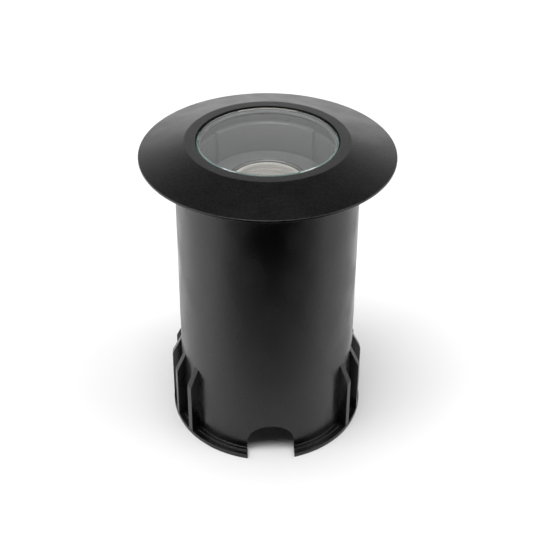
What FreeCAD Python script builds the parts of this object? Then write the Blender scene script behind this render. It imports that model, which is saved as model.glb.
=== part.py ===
"""In ground well light: a buried sleeve, a sealed lamp housing, a domed cover and an aimable lamp.

Millimetres. The origin is the middle of the sleeve's foot, +Z points up through the lens, and the two
cable arches face -Y and +Y. Levels above the sleeve are counted from the sleeve's top, so the housing,
the cover and the lamp follow the sleeve when its height changes.
"""
import FreeCAD
import Part
import Sketcher
import math
import os

DRIVING_SIZES = [
    # the sleeve that stays in the ground
    ("sleeve_height", 206.0, "foot to top edge"),
    ("sleeve_top_radius", 60.1, "outside, at the top"),
    ("sleeve_draft", 2.5, "how much wider the foot is than the top, on the radius"),
    ("sleeve_wall", 3.0, "wall of the tube"),
    ("ledge_width", 7.0, "anchoring ledge outside the foot"),
    ("ledge_thickness", 3.0, "ledge plate"),
    ("ledge_step_width", 3.0, "raised band where the ledge meets the tube"),
    ("ledge_step_rise", 0.8, "how far that band stands up"),
    ("gusset_thickness", 4.5, "each rib between tube and ledge"),
    ("gusset_shoulder", 43.5, "height where the outer edge turns inwards"),
    ("gusset_peak", 57.5, "height where the slope meets the tube"),
    ("gusset_draft", 0.5, "how far the outer edge leans in"),
    ("gusset_inset", 0.2, "outer edge inside the ledge's rim"),
    ("gusset_count", 5, "ribs on each side"),
    ("gusset_pitch", 17.5, "degrees from rib to rib"),
    ("arch_width", 33.0, "cable arch"),
    ("arch_height", 25.3, "cable arch, foot to crown"),
    # the housing that hangs in the sleeve
    ("can_flange_inset", 0.3, "flange inside the sleeve's top edge"),
    ("can_flange_thickness", 2.5, "same flange"),
    ("can_clearance", 2.5, "housing wall to the sleeve's inside, at the top"),
    ("can_mouth_chamfer", 1.0, "lead-in for the cover's ring seal"),
    ("can_wall", 2.2, "wall of the housing"),
    ("can_shelf_depth", 28.0, "sleeve top down to the aiming ring's shelf"),
    ("can_shelf_width", 5.4, "shelf that the aiming ring turns on"),
    ("can_draft", 2.5, "how much the well narrows from the shelf to the floor"),
    ("can_floor_depth", 107.0, "sleeve top down to the inside floor"),
    ("can_floor_thickness", 3.0, "floor plate"),
    ("can_foot_round", 4.0, "rounding of the outer bottom edge"),
    ("can_rib_count", 6, "ribs that centre the housing in the sleeve"),
    ("can_rib_thickness", 2.0, "each centring rib"),
    ("can_rib_height", 22.0, "each centring rib"),
    ("can_rib_gap", 0.4, "rib to sleeve"),
    # the cover
    ("cover_radius", 82.5, "outer edge of the cover"),
    ("cover_lip", 1.6, "thickness of the outer edge"),
    ("cover_lip_rise", 1.4, "underside of the outer edge above the sleeve's top"),
    ("cover_cone_rise", 8.15, "outer edge up to the flat ring"),
    ("cover_flat_width", 6.92, "flat ring round the lens"),
    ("cover_skin", 2.6, "plate thickness of the cone"),
    ("cover_seat_inset", 2.6, "annular seat outside the housing's mouth"),
    ("cover_seat_width", 4.4, "same seat"),
    ("cover_skirt_wall", 4.1, "skirt that plugs the housing"),
    ("cover_skirt_gap", 0.3, "skirt to housing mouth"),
    ("cover_skirt_depth", 9.0, "sleeve top down to the skirt's end"),
    ("cover_edge_round", 0.5, "rounding of the outer edge"),
    ("cover_rib_count", 12, "ribs under the cone"),
    ("cover_rib_thickness", 1.8, "each of those ribs"),
    ("cover_rib_inset", 6.5, "outer end of those ribs inside the cover's edge"),
    ("cover_rib_overlap", 1.0, "how far they start inside the seat"),
    ("cover_gasket_thickness", 1.0, "flat seal between cover and housing"),
    ("cover_gasket_inset", 0.3, "flat seal inside the seat's edges"),
    ("ring_seal_section", 2.4, "thickness of the skirt's ring seal"),
    ("ring_seal_stand", 0.2, "how far the seal stands out of the skirt"),
    ("ring_seal_drop", 5.6, "sleeve top down to the seal's middle"),
    ("ring_groove_width", 3.2, "groove that holds the seal"),
    # the lens
    ("lens_bearing", 1.83, "glass that rests on its ledge, on the radius"),
    ("lens_thickness", 6.0, "glass disc"),
    ("lens_gap", 0.9, "glass to cover, all round"),
    ("lens_sink", 0.5, "glass below the flat ring"),
    ("lens_chamfer", 0.7, "ground edge of the glass"),
    ("lens_gasket_thickness", 1.0, "flat seal under the glass"),
    ("lens_gasket_inset", 0.65, "outer edge of that seal inside the glass recess"),
    ("lens_ledge_width", 4.6, "ledge that carries the glass, inside the skirt"),
    ("lens_ledge_thickness", 2.1, "ledge that carries the glass"),
    # the aiming ring
    ("aim_skirt_gap", 1.0, "ring's wall inside the cover's skirt"),
    ("aim_wall", 2.4, "thickness of that wall"),
    ("aim_foot_gap", 0.4, "ring's foot to the housing wall"),
    ("aim_foot_lift", 0.3, "ring's foot above the shelf"),
    ("aim_foot_thickness", 3.0, "ring's foot"),
    ("aim_wall_drop", 4.5, "sleeve top down to the wall's top"),
    ("pad_stand", 2.6, "two curved pads stand in from the ring's wall"),
    ("pad_drop", 3.0, "sleeve top down to the pads' top"),
    ("pad_angle", 96.0, "degrees round the ring that one pad covers"),
    # the tilting tray
    ("pivot_drop", 16.0, "sleeve top down to the tilt axis"),
    ("tray_gap", 1.2, "tray's upper edge to the pads"),
    ("tray_drop", 23.4, "sleeve top down to the tray's upper face"),
    ("tray_thickness", 2.8, "tray plate"),
    ("tray_undercut", 1.6, "lower edge inside the upper edge"),
    ("tray_seat_radius", 23.4, "opening under the lamp"),
    ("tray_seat_thickness", 1.2, "ledge that carries the lamp's rim"),
    ("collar_gap", 0.4, "lamp rim to the collar"),
    ("collar_wall", 1.3, "collar round the lamp"),
    ("collar_rise", 2.4, "collar above the tray"),
    ("ear_gap", 0.8, "two pivot ears to the aiming ring's wall, with the washers between"),
    ("ear_thickness", 2.5, "each ear"),
    ("ear_width", 10.0, "each ear"),
    ("ear_root_inset", 3.3, "start of the ear's foot inside the tray's edge"),
    # the pivots
    ("pivot_radius", 1.5, "pivot screw shank"),
    ("pivot_running_gap", 0.08, "ear to shank, on the radius"),
    ("pivot_head_radius", 3.0, "pivot screw head"),
    ("pivot_head_thickness", 1.8, "same head"),
    ("pivot_seat_gap", 0.1, "head, washer and nut to what they hold"),
    ("washer_radius", 3.4, "pivot washer"),
    ("washer_thickness", 0.4, "pivot washer"),
    ("nut_thickness", 2.4, "pivot nut"),
    ("nut_radius", 3.1, "pivot nut, across the corners"),
    # the lamp
    ("lamp_rim_radius", 25.2, "flat rim of the reflector lamp"),
    ("lamp_rim_thickness", 2.0, "same rim"),
    ("lamp_seat_gap", 0.05, "rim above its ledge"),
    ("lamp_length", 45.0, "face to the end of the base"),
    ("lamp_shell", 1.4, "reflector glass"),
    ("lamp_neck_radius", 9.0, "reflector's outside where it meets the base"),
    ("lamp_neck_drop", 33.0, "face down to the neck"),
    ("lamp_face_radius", 24.0, "recess for the lamp's front glass"),
    ("lamp_face_thickness", 1.0, "front glass"),
    ("lamp_face_gap", 0.1, "front glass to the reflector"),
    ("lamp_base_width", 15.0, "ceramic base, along the pins' row"),
    ("lamp_base_breadth", 11.0, "ceramic base, across"),
    ("lamp_base_tenon", 5.2, "part of the base that stands in the neck"),
    ("pin_pitch", 5.33, "two contact pins"),
    ("pin_radius", 0.75, "each pin"),
    ("pin_length", 7.5, "each pin below the base"),
    ("capsule_radius", 4.5, "quartz capsule"),
    ("capsule_length", 16.0, "quartz capsule above the base"),
    ("capsule_tip_radius", 2.25, "its narrow end"),
    ("capsule_tip_round", 1.5, "rounding of that end"),
    ("clip_wire", 1.0, "wire of the lamp clip"),
    ("clip_gap", 0.1, "clip to collar and to rim"),
    ("clip_opening", 16.0, "degrees left open between the clip's ends"),
    # lampholder and its strap
    ("holder_width", 19.0, "ceramic lampholder, along the pins' row"),
    ("holder_breadth", 11.0, "ceramic lampholder, across"),
    ("holder_height", 15.0, "ceramic lampholder"),
    ("holder_gap", 0.3, "lamp base above the lampholder"),
    ("holder_round", 1.5, "its upright edges"),
    ("pin_hole_gap", 0.1, "contact hole round a pin"),
    ("pin_hole_extra", 1.0, "contact hole deeper than the pin"),
    ("strap_thickness", 1.2, "sheet metal of the strap"),
    ("strap_width", 12.0, "same strap"),
    ("strap_foot", 8.0, "foot that is screwed under the tray, out to the tray's lower edge"),
    ("strap_lead_hole", 3.0, "hole for the leads, its radius"),
    ("small_screw_radius", 1.3, "screws of strap and lampholder"),
    ("small_head_radius", 2.6, "their heads"),
    ("small_head_thickness", 1.6, "their heads"),
    ("small_screw_grip", 5.0, "length beyond the strap"),
    ("holder_screw_pitch", 12.4, "two screws under the lampholder"),
    ("screw_gap", 0.05, "screw to its hole, on the radius"),
    # the cable gland
    ("gland_thread_radius", 8.0, "thread of the gland"),
    ("gland_thread_gap", 0.1, "thread to what it passes or holds"),
    ("gland_flat", 22.0, "hexagon across its flats"),
    ("gland_hex_height", 6.0, "hexagon"),
    ("gland_upper_length", 9.0, "thread above the hexagon"),
    ("gland_lower_length", 11.0, "thread below the hexagon"),
    ("gland_bore", 5.0, "radius of the lead's way up"),
    ("gland_cup_radius", 6.6, "cup for the seal"),
    ("gland_cup_depth", 8.0, "cup for the seal"),
    ("gland_washer_radius", 12.0, "sealing washer under the floor"),
    ("gland_washer_thickness", 1.5, "same washer"),
    ("locknut_flat", 20.0, "nut inside the housing"),
    ("locknut_height", 4.0, "nut inside the housing"),
    ("seal_bore", 4.0, "cable radius that the seal closes on"),
    ("seal_gap", 0.1, "seal to its cup"),
    ("seal_stand", 1.0, "seal below the gland's end"),
    ("cap_radius", 11.0, "gland cap"),
    ("cap_gap", 0.6, "cap to hexagon"),
    ("cap_end_thickness", 2.4, "end wall of the cap"),
    ("cap_end_radius", 7.6, "small end of the cap"),
    ("cap_taper", 4.0, "height of the cap's taper"),
    ("cap_hole", 4.8, "cable hole in the cap"),
    ("cap_flute_count", 8, "grip flutes round the cap"),
    ("cap_flute_radius", 1.6, "each flute"),
]

FULL_TURN = 360.0
FLAT_TO_CORNER = 30.0  # degrees, in a regular hexagon
PAIR = 2
REFLECTOR_SPANS = 6  # of the curve through the parabola's points

doc = FreeCAD.newDocument("in_ground_well_light")
sheet = doc.addObject("Spreadsheet::Sheet", "Sizes")
for row, (alias, value, note) in enumerate(DRIVING_SIZES, start=1):
    sheet.set(f"A{row}", note)
    sheet.set(f"B{row}", str(value))
    sheet.setAlias(f"B{row}", alias)
doc.recompute()


class Size:
    """A number together with the sheet formula that gives it, so that plain sums bind themselves."""

    def __init__(self, number, formula):
        self.number = float(number)
        self.formula = formula

    @staticmethod
    def of(other):
        return other if isinstance(other, Size) else Size(other, f"{other:g}")

    def __add__(self, other):
        other = Size.of(other)
        return Size(self.number + other.number, f"({self.formula} + {other.formula})")

    def __sub__(self, other):
        other = Size.of(other)
        return Size(self.number - other.number, f"({self.formula} - {other.formula})")

    def __mul__(self, other):
        other = Size.of(other)
        return Size(self.number * other.number, f"({self.formula} * {other.formula})")

    def __truediv__(self, other):
        other = Size.of(other)
        return Size(self.number / other.number, f"({self.formula} / {other.formula})")

    def __neg__(self):
        return Size(-self.number, f"(0 - {self.formula})")

    def cosine(self):
        return Size(math.cos(math.radians(self.number)), f"cos({self.formula} * 1 deg)")


size = {alias: Size(sheet.get(alias), f"Sizes.{alias}") for alias, value, note in DRIVING_SIZES}
sub_parts = []


# ---------------------------------------------------------------- building blocks

def new_body(label):
    """An empty sub-part; its label names its file."""
    body = doc.addObject("PartDesign::Body", label)
    body.Label = label
    body.AllowCompound = True
    sub_parts.append(body)
    return body


def origin_feature(body, role):
    return next(feature for feature in body.Origin.OriginFeatures if feature.Role == role)


def new_sketch(body, name, plane, turn=None, lift=None):
    """A sketch on one of the body's planes, turned about +Z or lifted off the plane by a size."""
    sketch = body.newObject("Sketcher::SketchObject", f"{body.Name}_{name}")
    sketch.AttachmentSupport = [(origin_feature(body, plane), "")]
    sketch.MapMode = "FlatFace"
    if turn is not None:
        spin = FreeCAD.Rotation(FreeCAD.Vector(0, 1, 0), turn.number)
        sketch.AttachmentOffset = FreeCAD.Placement(FreeCAD.Vector(), spin)
        sketch.setExpression("AttachmentOffset.Rotation.Angle", turn.formula)
    if lift is not None:
        sketch.AttachmentOffset = FreeCAD.Placement(FreeCAD.Vector(0, 0, lift.number), FreeCAD.Rotation())
        sketch.setExpression("AttachmentOffset.Base.z", lift.formula)
    return sketch


def bind(sketch, constraint, formula):
    sketch.setExpression(f"Constraints[{constraint}]", formula)


def pin_point(sketch, curve, end, across, up):
    """Hold one point of a curve at its two sizes; a plain 0 puts it on the axis."""
    for kind, amount, axis in (("DistanceX", across, -2), ("DistanceY", up, -1)):
        if isinstance(amount, Size):
            held = Sketcher.Constraint(kind, -1, 1, curve, end, amount.number)
            bind(sketch, sketch.addConstraint(held), amount.formula)
        else:
            sketch.addConstraint(Sketcher.Constraint("PointOnObject", curve, end, axis))


def draw_outline(sketch, corners):
    """A closed outline of straight lines through the corners."""
    points = [FreeCAD.Vector(Size.of(across).number, Size.of(up).number, 0) for across, up in corners]
    first = sketch.GeometryCount
    for here, there in zip(points, points[1:] + points[:1]):
        sketch.addGeometry(Part.LineSegment(here, there))
    for index, (across, up) in enumerate(corners):
        following = first + (index + 1) % len(corners)
        sketch.addConstraint(Sketcher.Constraint("Coincident", first + index, 2, following, 1))
        pin_point(sketch, first + index, 1, across, up)


def draw_circle(sketch, radius, across=0, up=0):
    """A circle whose middle and radius are sizes."""
    middle = FreeCAD.Vector(Size.of(across).number, Size.of(up).number, 0)
    curve = sketch.addGeometry(Part.Circle(middle, FreeCAD.Vector(0, 0, 1), radius.number))
    bind(sketch, sketch.addConstraint(Sketcher.Constraint("Radius", curve, radius.number)), radius.formula)
    pin_point(sketch, curve, 3, across, up)


def draw_hexagon(sketch, across_flats):
    """A regular hexagon about the origin with two corners on the sketch's X axis."""
    corner = across_flats / 2 / Size.of(FLAT_TO_CORNER).cosine()
    half = corner / 2
    flat = across_flats / 2
    draw_outline(sketch, [(corner, 0), (half, flat), (-half, flat), (-corner, 0), (-half, -flat), (half, -flat)])


def draw_block(sketch, width, breadth):
    """A rectangle about the origin."""
    right, back = width / 2, breadth / 2
    draw_outline(sketch, [(-right, -back), (right, -back), (right, back), (-right, back)])


def revolve(body, name, sketch, axis="V_Axis", angle=None):
    """Turn a sketch about one of its own axes, all round or by an angle shared to both sides."""
    turned = body.newObject("PartDesign::Revolution", f"{body.Name}_{name}")
    turned.Profile = sketch
    turned.ReferenceAxis = (sketch, [axis])
    turned.Angle = FULL_TURN
    if angle is not None:
        turned.Midplane = True
        turned.setExpression("Angle", angle.formula)
    doc.recompute()
    return turned


def pad(body, name, sketch, length, both_ways=False, downwards=False):
    raised = body.newObject("PartDesign::Pad", f"{body.Name}_{name}")
    raised.Profile = sketch
    raised.Midplane = both_ways
    raised.Reversed = downwards
    raised.Length = length.number
    raised.setExpression("Length", length.formula)
    doc.recompute()
    return raised


def pocket(body, name, sketch, length, both_ways=False, upwards=False):
    """Cut a sketch into the body and make sure that it met the solid."""
    before = body.Shape.Volume
    cut = body.newObject("PartDesign::Pocket", f"{body.Name}_{name}")
    cut.Profile = sketch
    cut.Midplane = both_ways
    cut.Reversed = upwards
    cut.Length = length.number
    cut.setExpression("Length", length.formula)
    doc.recompute()
    if not body.Shape.Volume < before:
        raise RuntimeError(f"{cut.Name} cuts nothing")
    return cut


def pattern_round(body, name, feature, count, sweep=None):
    """Repeat a feature about +Z: evenly all round, or over a sweep in degrees from first to last."""
    pattern = body.newObject("PartDesign::PolarPattern", f"{body.Name}_{name}")
    pattern.Originals = [feature]
    pattern.Axis = (origin_feature(body, "Z_Axis"), [""])
    pattern.Angle = FULL_TURN
    pattern.Occurrences = int(count.number)
    pattern.setExpression("Occurrences", count.formula)
    if sweep is not None:
        pattern.setExpression("Angle", sweep.formula)
    body.Tip = pattern
    doc.recompute()
    return pattern


def ring_edges(shape, radius, height):
    """Names of the full-round edges with this radius at this height."""
    return [
        f"Edge{number}" for number, edge in enumerate(shape.Edges, start=1)
        if isinstance(edge.Curve, Part.Circle) and abs(edge.Curve.Radius - radius.number) < 1e-4
        and abs(edge.Curve.Center.z - height.number) < 1e-4 and abs(edge.Curve.Axis.z) > 0.99
    ]


def dress(body, kind, name, base, edges, amount):
    """Round or chamfer some edges of a feature; kind is Fillet or Chamfer."""
    if not edges:
        raise RuntimeError(f"{body.Label}: no edge for {name}")
    dressed = body.newObject(f"PartDesign::{kind}", f"{body.Name}_{name}")
    dressed.Base = (base, edges)
    bound_to = "Radius" if kind == "Fillet" else "Size"
    dressed.setExpression(bound_to, amount.formula)
    doc.recompute()
    return dressed


def turned_part(label, corners):
    """A sub-part that is one outline turned about +Z."""
    body = new_body(label)
    sketch = new_sketch(body, "section", "XZ_Plane")
    draw_outline(sketch, corners)
    return body, revolve(body, "turned", sketch)


# ---------------------------------------------------------------- radii shared by several sub-parts, from the sleeve in

sleeve_foot_radius = size["sleeve_top_radius"] + size["sleeve_draft"]
ledge_radius = sleeve_foot_radius + size["ledge_width"]
sleeve_mouth = size["sleeve_top_radius"] - size["sleeve_wall"]
can_mouth = sleeve_mouth - size["can_clearance"] - size["can_wall"]
skirt_outer = can_mouth - size["cover_skirt_gap"]
skirt_inner = skirt_outer - size["cover_skirt_wall"]
cover_seat_inner = can_mouth + size["cover_seat_inset"]
cover_seat_outer = cover_seat_inner + size["cover_seat_width"]
lens_opening = skirt_inner - size["lens_ledge_width"]
lens_radius = lens_opening + size["lens_bearing"]
lens_recess = lens_radius + size["lens_gap"]
cover_flat_radius = lens_recess + size["cover_flat_width"]
cover_slope = size["cover_cone_rise"] / (size["cover_radius"] - cover_flat_radius)
aim_wall_outer = skirt_inner - size["aim_skirt_gap"]
aim_wall_inner = aim_wall_outer - size["aim_wall"]
pad_inner = aim_wall_inner - size["pad_stand"]
ear_outer = aim_wall_inner - size["ear_gap"]
ear_inner = ear_outer - size["ear_thickness"]
tray_radius = pad_inner - size["tray_gap"]
strap_end = tray_radius - size["tray_undercut"]
strap_outer = strap_end - size["strap_foot"]
strap_reach = strap_outer - size["strap_thickness"]
strap_screw_place = strap_outer + size["strap_foot"] / 2
collar_inner = size["lamp_rim_radius"] + size["collar_gap"]
gland_way = size["gland_thread_radius"] + size["gland_thread_gap"]

# ---------------------------------------------------------------- levels shared by several sub-parts

sleeve_top = size["sleeve_height"]
can_top = sleeve_top + size["can_flange_thickness"]
cover_seat = can_top + size["cover_gasket_thickness"]
cover_rim = sleeve_top + size["cover_lip_rise"] + size["cover_lip"]
cover_top = cover_rim + size["cover_cone_rise"]
lens_top = cover_top - size["lens_sink"]
lens_bottom = lens_top - size["lens_thickness"]
lens_ledge_top = lens_bottom - size["lens_gasket_thickness"]
lens_ledge_bottom = lens_ledge_top - size["lens_ledge_thickness"]
ring_seal_level = sleeve_top - size["ring_seal_drop"]
ring_seal_middle = skirt_outer + size["ring_seal_stand"] - size["ring_seal_section"] / 2

shelf_level = sleeve_top - size["can_shelf_depth"]
floor_level = sleeve_top - size["can_floor_depth"]
floor_under = floor_level - size["can_floor_thickness"]

pivot_level = sleeve_top - size["pivot_drop"]
tray_top = sleeve_top - size["tray_drop"]
tray_bottom = tray_top - size["tray_thickness"]
tray_seat = tray_bottom + size["tray_seat_thickness"]
collar_top = tray_top + size["collar_rise"]
aim_foot = shelf_level + size["aim_foot_lift"]

lamp_rim_bottom = tray_seat + size["lamp_seat_gap"]
lamp_face = lamp_rim_bottom + size["lamp_rim_thickness"]
lamp_end = lamp_face - size["lamp_length"]
lamp_neck = lamp_face - size["lamp_neck_drop"]
holder_top = lamp_end - size["holder_gap"]
holder_bottom = holder_top - size["holder_height"]
strap_bottom = holder_bottom - size["strap_thickness"]

gland_hex_top = floor_under - size["gland_washer_thickness"]
gland_hex_bottom = gland_hex_top - size["gland_hex_height"]
gland_end = gland_hex_bottom - size["gland_lower_length"]
cap_top = gland_hex_bottom - size["cap_gap"]
seal_bottom = gland_end - size["seal_stand"]
cap_floor = seal_bottom - size["seal_gap"]
cap_bottom = cap_floor - size["cap_end_thickness"]


def sleeve_radius_at(height):
    """Outside radius of the drafted tube at a height."""
    return sleeve_foot_radius - size["sleeve_draft"] / size["sleeve_height"] * height


def cone_height_at(radius):
    """Height of the cover's outer cone at a radius."""
    return cover_rim + cover_slope * (size["cover_radius"] - radius)


# ---------------------------------------------------------------- the sleeve in the ground

def make_ground_sleeve():
    """Drafted tube on an anchoring ledge, ribbed on both sides and arched for the cable front and back."""
    wall = size["sleeve_wall"]
    ledge, step = size["ledge_thickness"], size["ledge_step_rise"]
    band_end = sleeve_radius_at(ledge) + size["ledge_step_width"]
    body, tube = turned_part("ground_sleeve", [
        (sleeve_foot_radius - wall, 0),
        (ledge_radius, 0),
        (ledge_radius, ledge),
        (band_end, ledge),
        (band_end, ledge + step),
        (sleeve_radius_at(ledge + step), ledge + step),
        (size["sleeve_top_radius"], sleeve_top),
        (sleeve_mouth, sleeve_top),
    ])
    shoulder, peak = size["gusset_shoulder"], size["gusset_peak"]
    foot_edge = ledge_radius - size["gusset_inset"]
    half_sweep = size["gusset_pitch"] * (size["gusset_count"] - 1) / 2
    for side, middle in (("right", 0), ("left", 180)):
        sketch = new_sketch(body, f"{side}_rib_outline", "XZ_Plane", turn=half_sweep * -1 + middle)
        draw_outline(sketch, [
            (sleeve_radius_at(peak) - wall / 2, ledge / 2),
            (foot_edge, ledge / 2),
            (foot_edge - size["gusset_draft"], shoulder),
            (sleeve_radius_at(peak), peak),
            (sleeve_radius_at(peak) - wall / 2, peak),
        ])
        rib = pad(body, f"{side}_rib", sketch, size["gusset_thickness"], both_ways=True)
        pattern_round(body, f"{side}_ribs", rib, size["gusset_count"], sweep=half_sweep * 2)
    half = size["arch_width"] / 2
    spring = size["arch_height"] - half
    through = ledge_radius * 3
    upright = new_sketch(body, "arch_legs", "XZ_Plane")
    draw_outline(upright, [(-half, -spring), (half, -spring), (half, spring), (-half, spring)])
    pocket(body, "arch_opening", upright, through, both_ways=True)
    crown = new_sketch(body, "arch_crown", "XZ_Plane")
    draw_circle(crown, half, up=spring)
    pocket(body, "arch_round", crown, through, both_ways=True)


# ---------------------------------------------------------------- the housing and its gland

def make_fixture_can():
    """Flanged cup: wide mouth for the cover, a shelf for the aiming ring, a drafted well for the lamp."""
    wall, chamfer = size["can_wall"], size["can_mouth_chamfer"]
    mouth, flange = can_mouth, size["sleeve_top_radius"] - size["can_flange_inset"]
    waist = mouth - size["can_shelf_width"]
    foot = waist - size["can_draft"]
    body, cup = turned_part("fixture_can", [
        (gland_way, floor_under),
        (foot + wall, floor_under),
        (waist + wall, shelf_level - wall - size["can_shelf_width"]),
        (mouth + wall, shelf_level - wall),
        (mouth + wall, sleeve_top),
        (flange, sleeve_top),
        (flange, can_top),
        (mouth + chamfer, can_top),
        (mouth, can_top - chamfer),
        (mouth, shelf_level),
        (waist, shelf_level),
        (foot, floor_level),
        (gland_way, floor_level),
    ])
    foot_edges = ring_edges(cup.Shape, foot + wall, floor_under)
    dress(body, "Fillet", "foot_round", cup, foot_edges, size["can_foot_round"])
    rib_end = sleeve_mouth - size["can_rib_gap"]
    sketch = new_sketch(body, "rib_outline", "XZ_Plane")
    lower = shelf_level + wall
    draw_outline(sketch, [
        (mouth + wall / 2, lower),
        (mouth + wall, lower),
        (rib_end, lower + (rib_end - mouth - wall)),
        (rib_end, lower + size["can_rib_height"]),
        (mouth + wall / 2, lower + size["can_rib_height"]),
    ])
    rib = pad(body, "rib", sketch, size["can_rib_thickness"], both_ways=True)
    pattern_round(body, "ribs", rib, size["can_rib_count"])


def make_gland():
    """Cable gland in the housing's floor: threaded body, sealing washer, locknut, rubber seal and cap."""
    thread = size["gland_thread_radius"]
    body = new_body("gland_body")
    hexagon = new_sketch(body, "hexagon", "XY_Plane", lift=gland_hex_bottom)
    draw_hexagon(hexagon, size["gland_flat"])
    pad(body, "hex", hexagon, size["gland_hex_height"])
    upper = new_sketch(body, "upper_round", "XY_Plane", lift=gland_hex_top)
    draw_circle(upper, thread)
    pad(body, "upper_thread", upper, size["gland_upper_length"])
    lower = new_sketch(body, "lower_round", "XY_Plane", lift=gland_hex_bottom)
    draw_circle(lower, thread)
    pad(body, "lower_thread", lower, size["gland_lower_length"], downwards=True)
    cup = new_sketch(body, "cup_round", "XY_Plane", lift=gland_end)
    draw_circle(cup, size["gland_cup_radius"])
    pocket(body, "cup", cup, size["gland_cup_depth"], upwards=True)
    way = new_sketch(body, "way_round", "XY_Plane", lift=gland_end)
    draw_circle(way, size["gland_bore"])
    whole = size["gland_lower_length"] + size["gland_hex_height"] + size["gland_upper_length"]
    pocket(body, "way", way, whole * 2, upwards=True)

    turned_part("gland_washer", [
        (gland_way, gland_hex_top), (size["gland_washer_radius"], gland_hex_top),
        (size["gland_washer_radius"], floor_under), (gland_way, floor_under),
    ])
    locknut = new_body("gland_locknut")
    outline = new_sketch(locknut, "hexagon", "XY_Plane", lift=floor_level)
    draw_hexagon(outline, size["locknut_flat"])
    draw_circle(outline, gland_way)
    pad(locknut, "nut", outline, size["locknut_height"])

    seal_outer = size["gland_cup_radius"] - size["seal_gap"]
    seal_top = gland_end + size["gland_cup_depth"] - size["seal_gap"]
    turned_part("gland_seal", [
        (size["seal_bore"], seal_bottom), (seal_outer, seal_bottom),
        (seal_outer, seal_top), (size["seal_bore"], seal_top),
    ])
    cap, shell = turned_part("gland_cap", [
        (size["cap_hole"], cap_bottom), (size["cap_end_radius"], cap_bottom),
        (size["cap_radius"], cap_bottom + size["cap_taper"]), (size["cap_radius"], cap_top),
        (gland_way, cap_top), (gland_way, cap_floor), (size["cap_hole"], cap_floor),
    ])
    flute_place = size["cap_radius"] + size["cap_flute_radius"] / 2
    flute = new_sketch(cap, "flute_round", "XY_Plane", lift=cap_bottom)
    draw_circle(flute, size["cap_flute_radius"], across=flute_place)
    cut = pocket(cap, "flute", flute, (cap_top - cap_bottom) * 2, upwards=True)
    pattern_round(cap, "flutes", cut, size["cap_flute_count"])


# ---------------------------------------------------------------- the cover and its lens

def make_cover_ring():
    """Shallow cone with a flat ring round the lens, a skirt that plugs the housing and ribs beneath."""
    edge, lip = size["cover_radius"], size["cover_lip"]
    skin, flat = size["cover_skin"], cover_flat_radius
    seat_in, seat_out = cover_seat_inner, cover_seat_outer
    skirt_end = sleeve_top - size["cover_skirt_depth"]
    groove_floor = ring_seal_middle - size["ring_seal_section"] / 2
    groove_half = size["ring_groove_width"] / 2
    land = lip / cover_slope / 2
    body, shell = turned_part("cover_ring", [
        (lens_recess, cover_top),
        (lens_recess, lens_ledge_top),
        (lens_opening, lens_ledge_top),
        (lens_opening, lens_ledge_bottom),
        (skirt_inner, lens_ledge_bottom),
        (skirt_inner, skirt_end),
        (skirt_outer, skirt_end),
        (skirt_outer, ring_seal_level - groove_half),
        (groove_floor, ring_seal_level - groove_half),
        (groove_floor, ring_seal_level + groove_half),
        (skirt_outer, ring_seal_level + groove_half),
        (skirt_outer, cone_height_at(flat) - skin),
        (seat_in, cone_height_at(seat_in) - skin),
        (seat_in, cover_seat),
        (seat_out, cover_seat),
        (seat_out, cone_height_at(seat_out) - skin),
        (edge - land, cover_rim - lip),
        (edge, cover_rim - lip),
        (edge, cover_rim),
        (flat, cover_top),
    ])
    rims = ring_edges(shell.Shape, edge, cover_rim) + ring_edges(shell.Shape, edge, cover_rim - lip)
    dress(body, "Fillet", "edge_round", shell, rims, size["cover_edge_round"])
    rib_start, rib_end = seat_out - size["cover_rib_overlap"], edge - size["cover_rib_inset"]
    sketch = new_sketch(body, "rib_outline", "XZ_Plane")
    draw_outline(sketch, [
        (rib_start, cover_seat + lip),
        (rib_end, cone_height_at(rib_end) - skin),
        (rib_end, cone_height_at(rib_end) - skin / 2),
        (rib_start, cone_height_at(seat_out) - skin / 2),
    ])
    rib = pad(body, "rib", sketch, size["cover_rib_thickness"], both_ways=True)
    pattern_round(body, "ribs", rib, size["cover_rib_count"])


def make_lens_and_seals():
    """Toughened glass disc, the flat seal under it, and the two seals between cover and housing."""
    glass, disc = turned_part("glass_lens", [
        (0, lens_bottom), (lens_radius, lens_bottom), (lens_radius, lens_top), (0, lens_top),
    ])
    rims = ring_edges(disc.Shape, lens_radius, lens_top) + ring_edges(disc.Shape, lens_radius, lens_bottom)
    dress(glass, "Chamfer", "ground_edge", disc, rims, size["lens_chamfer"])

    seal_outer = lens_recess - size["lens_gasket_inset"]
    turned_part("lens_gasket", [
        (lens_opening, lens_ledge_top), (seal_outer, lens_ledge_top),
        (seal_outer, lens_bottom), (lens_opening, lens_bottom),
    ])
    inner = cover_seat_inner + size["cover_gasket_inset"]
    outer = cover_seat_outer - size["cover_gasket_inset"]
    turned_part("cover_gasket", [(inner, can_top), (outer, can_top), (outer, cover_seat), (inner, cover_seat)])

    seal = doc.addObject("Part::Torus", "cover_o_ring")
    seal.Label = "cover_o_ring"
    seal.setExpression("Radius1", ring_seal_middle.formula)
    seal.setExpression("Radius2", (size["ring_seal_section"] / 2).formula)
    seal.setExpression("Placement.Base.z", ring_seal_level.formula)
    sub_parts.append(seal)


# ---------------------------------------------------------------- the aiming ring, tray and pivots

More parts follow.
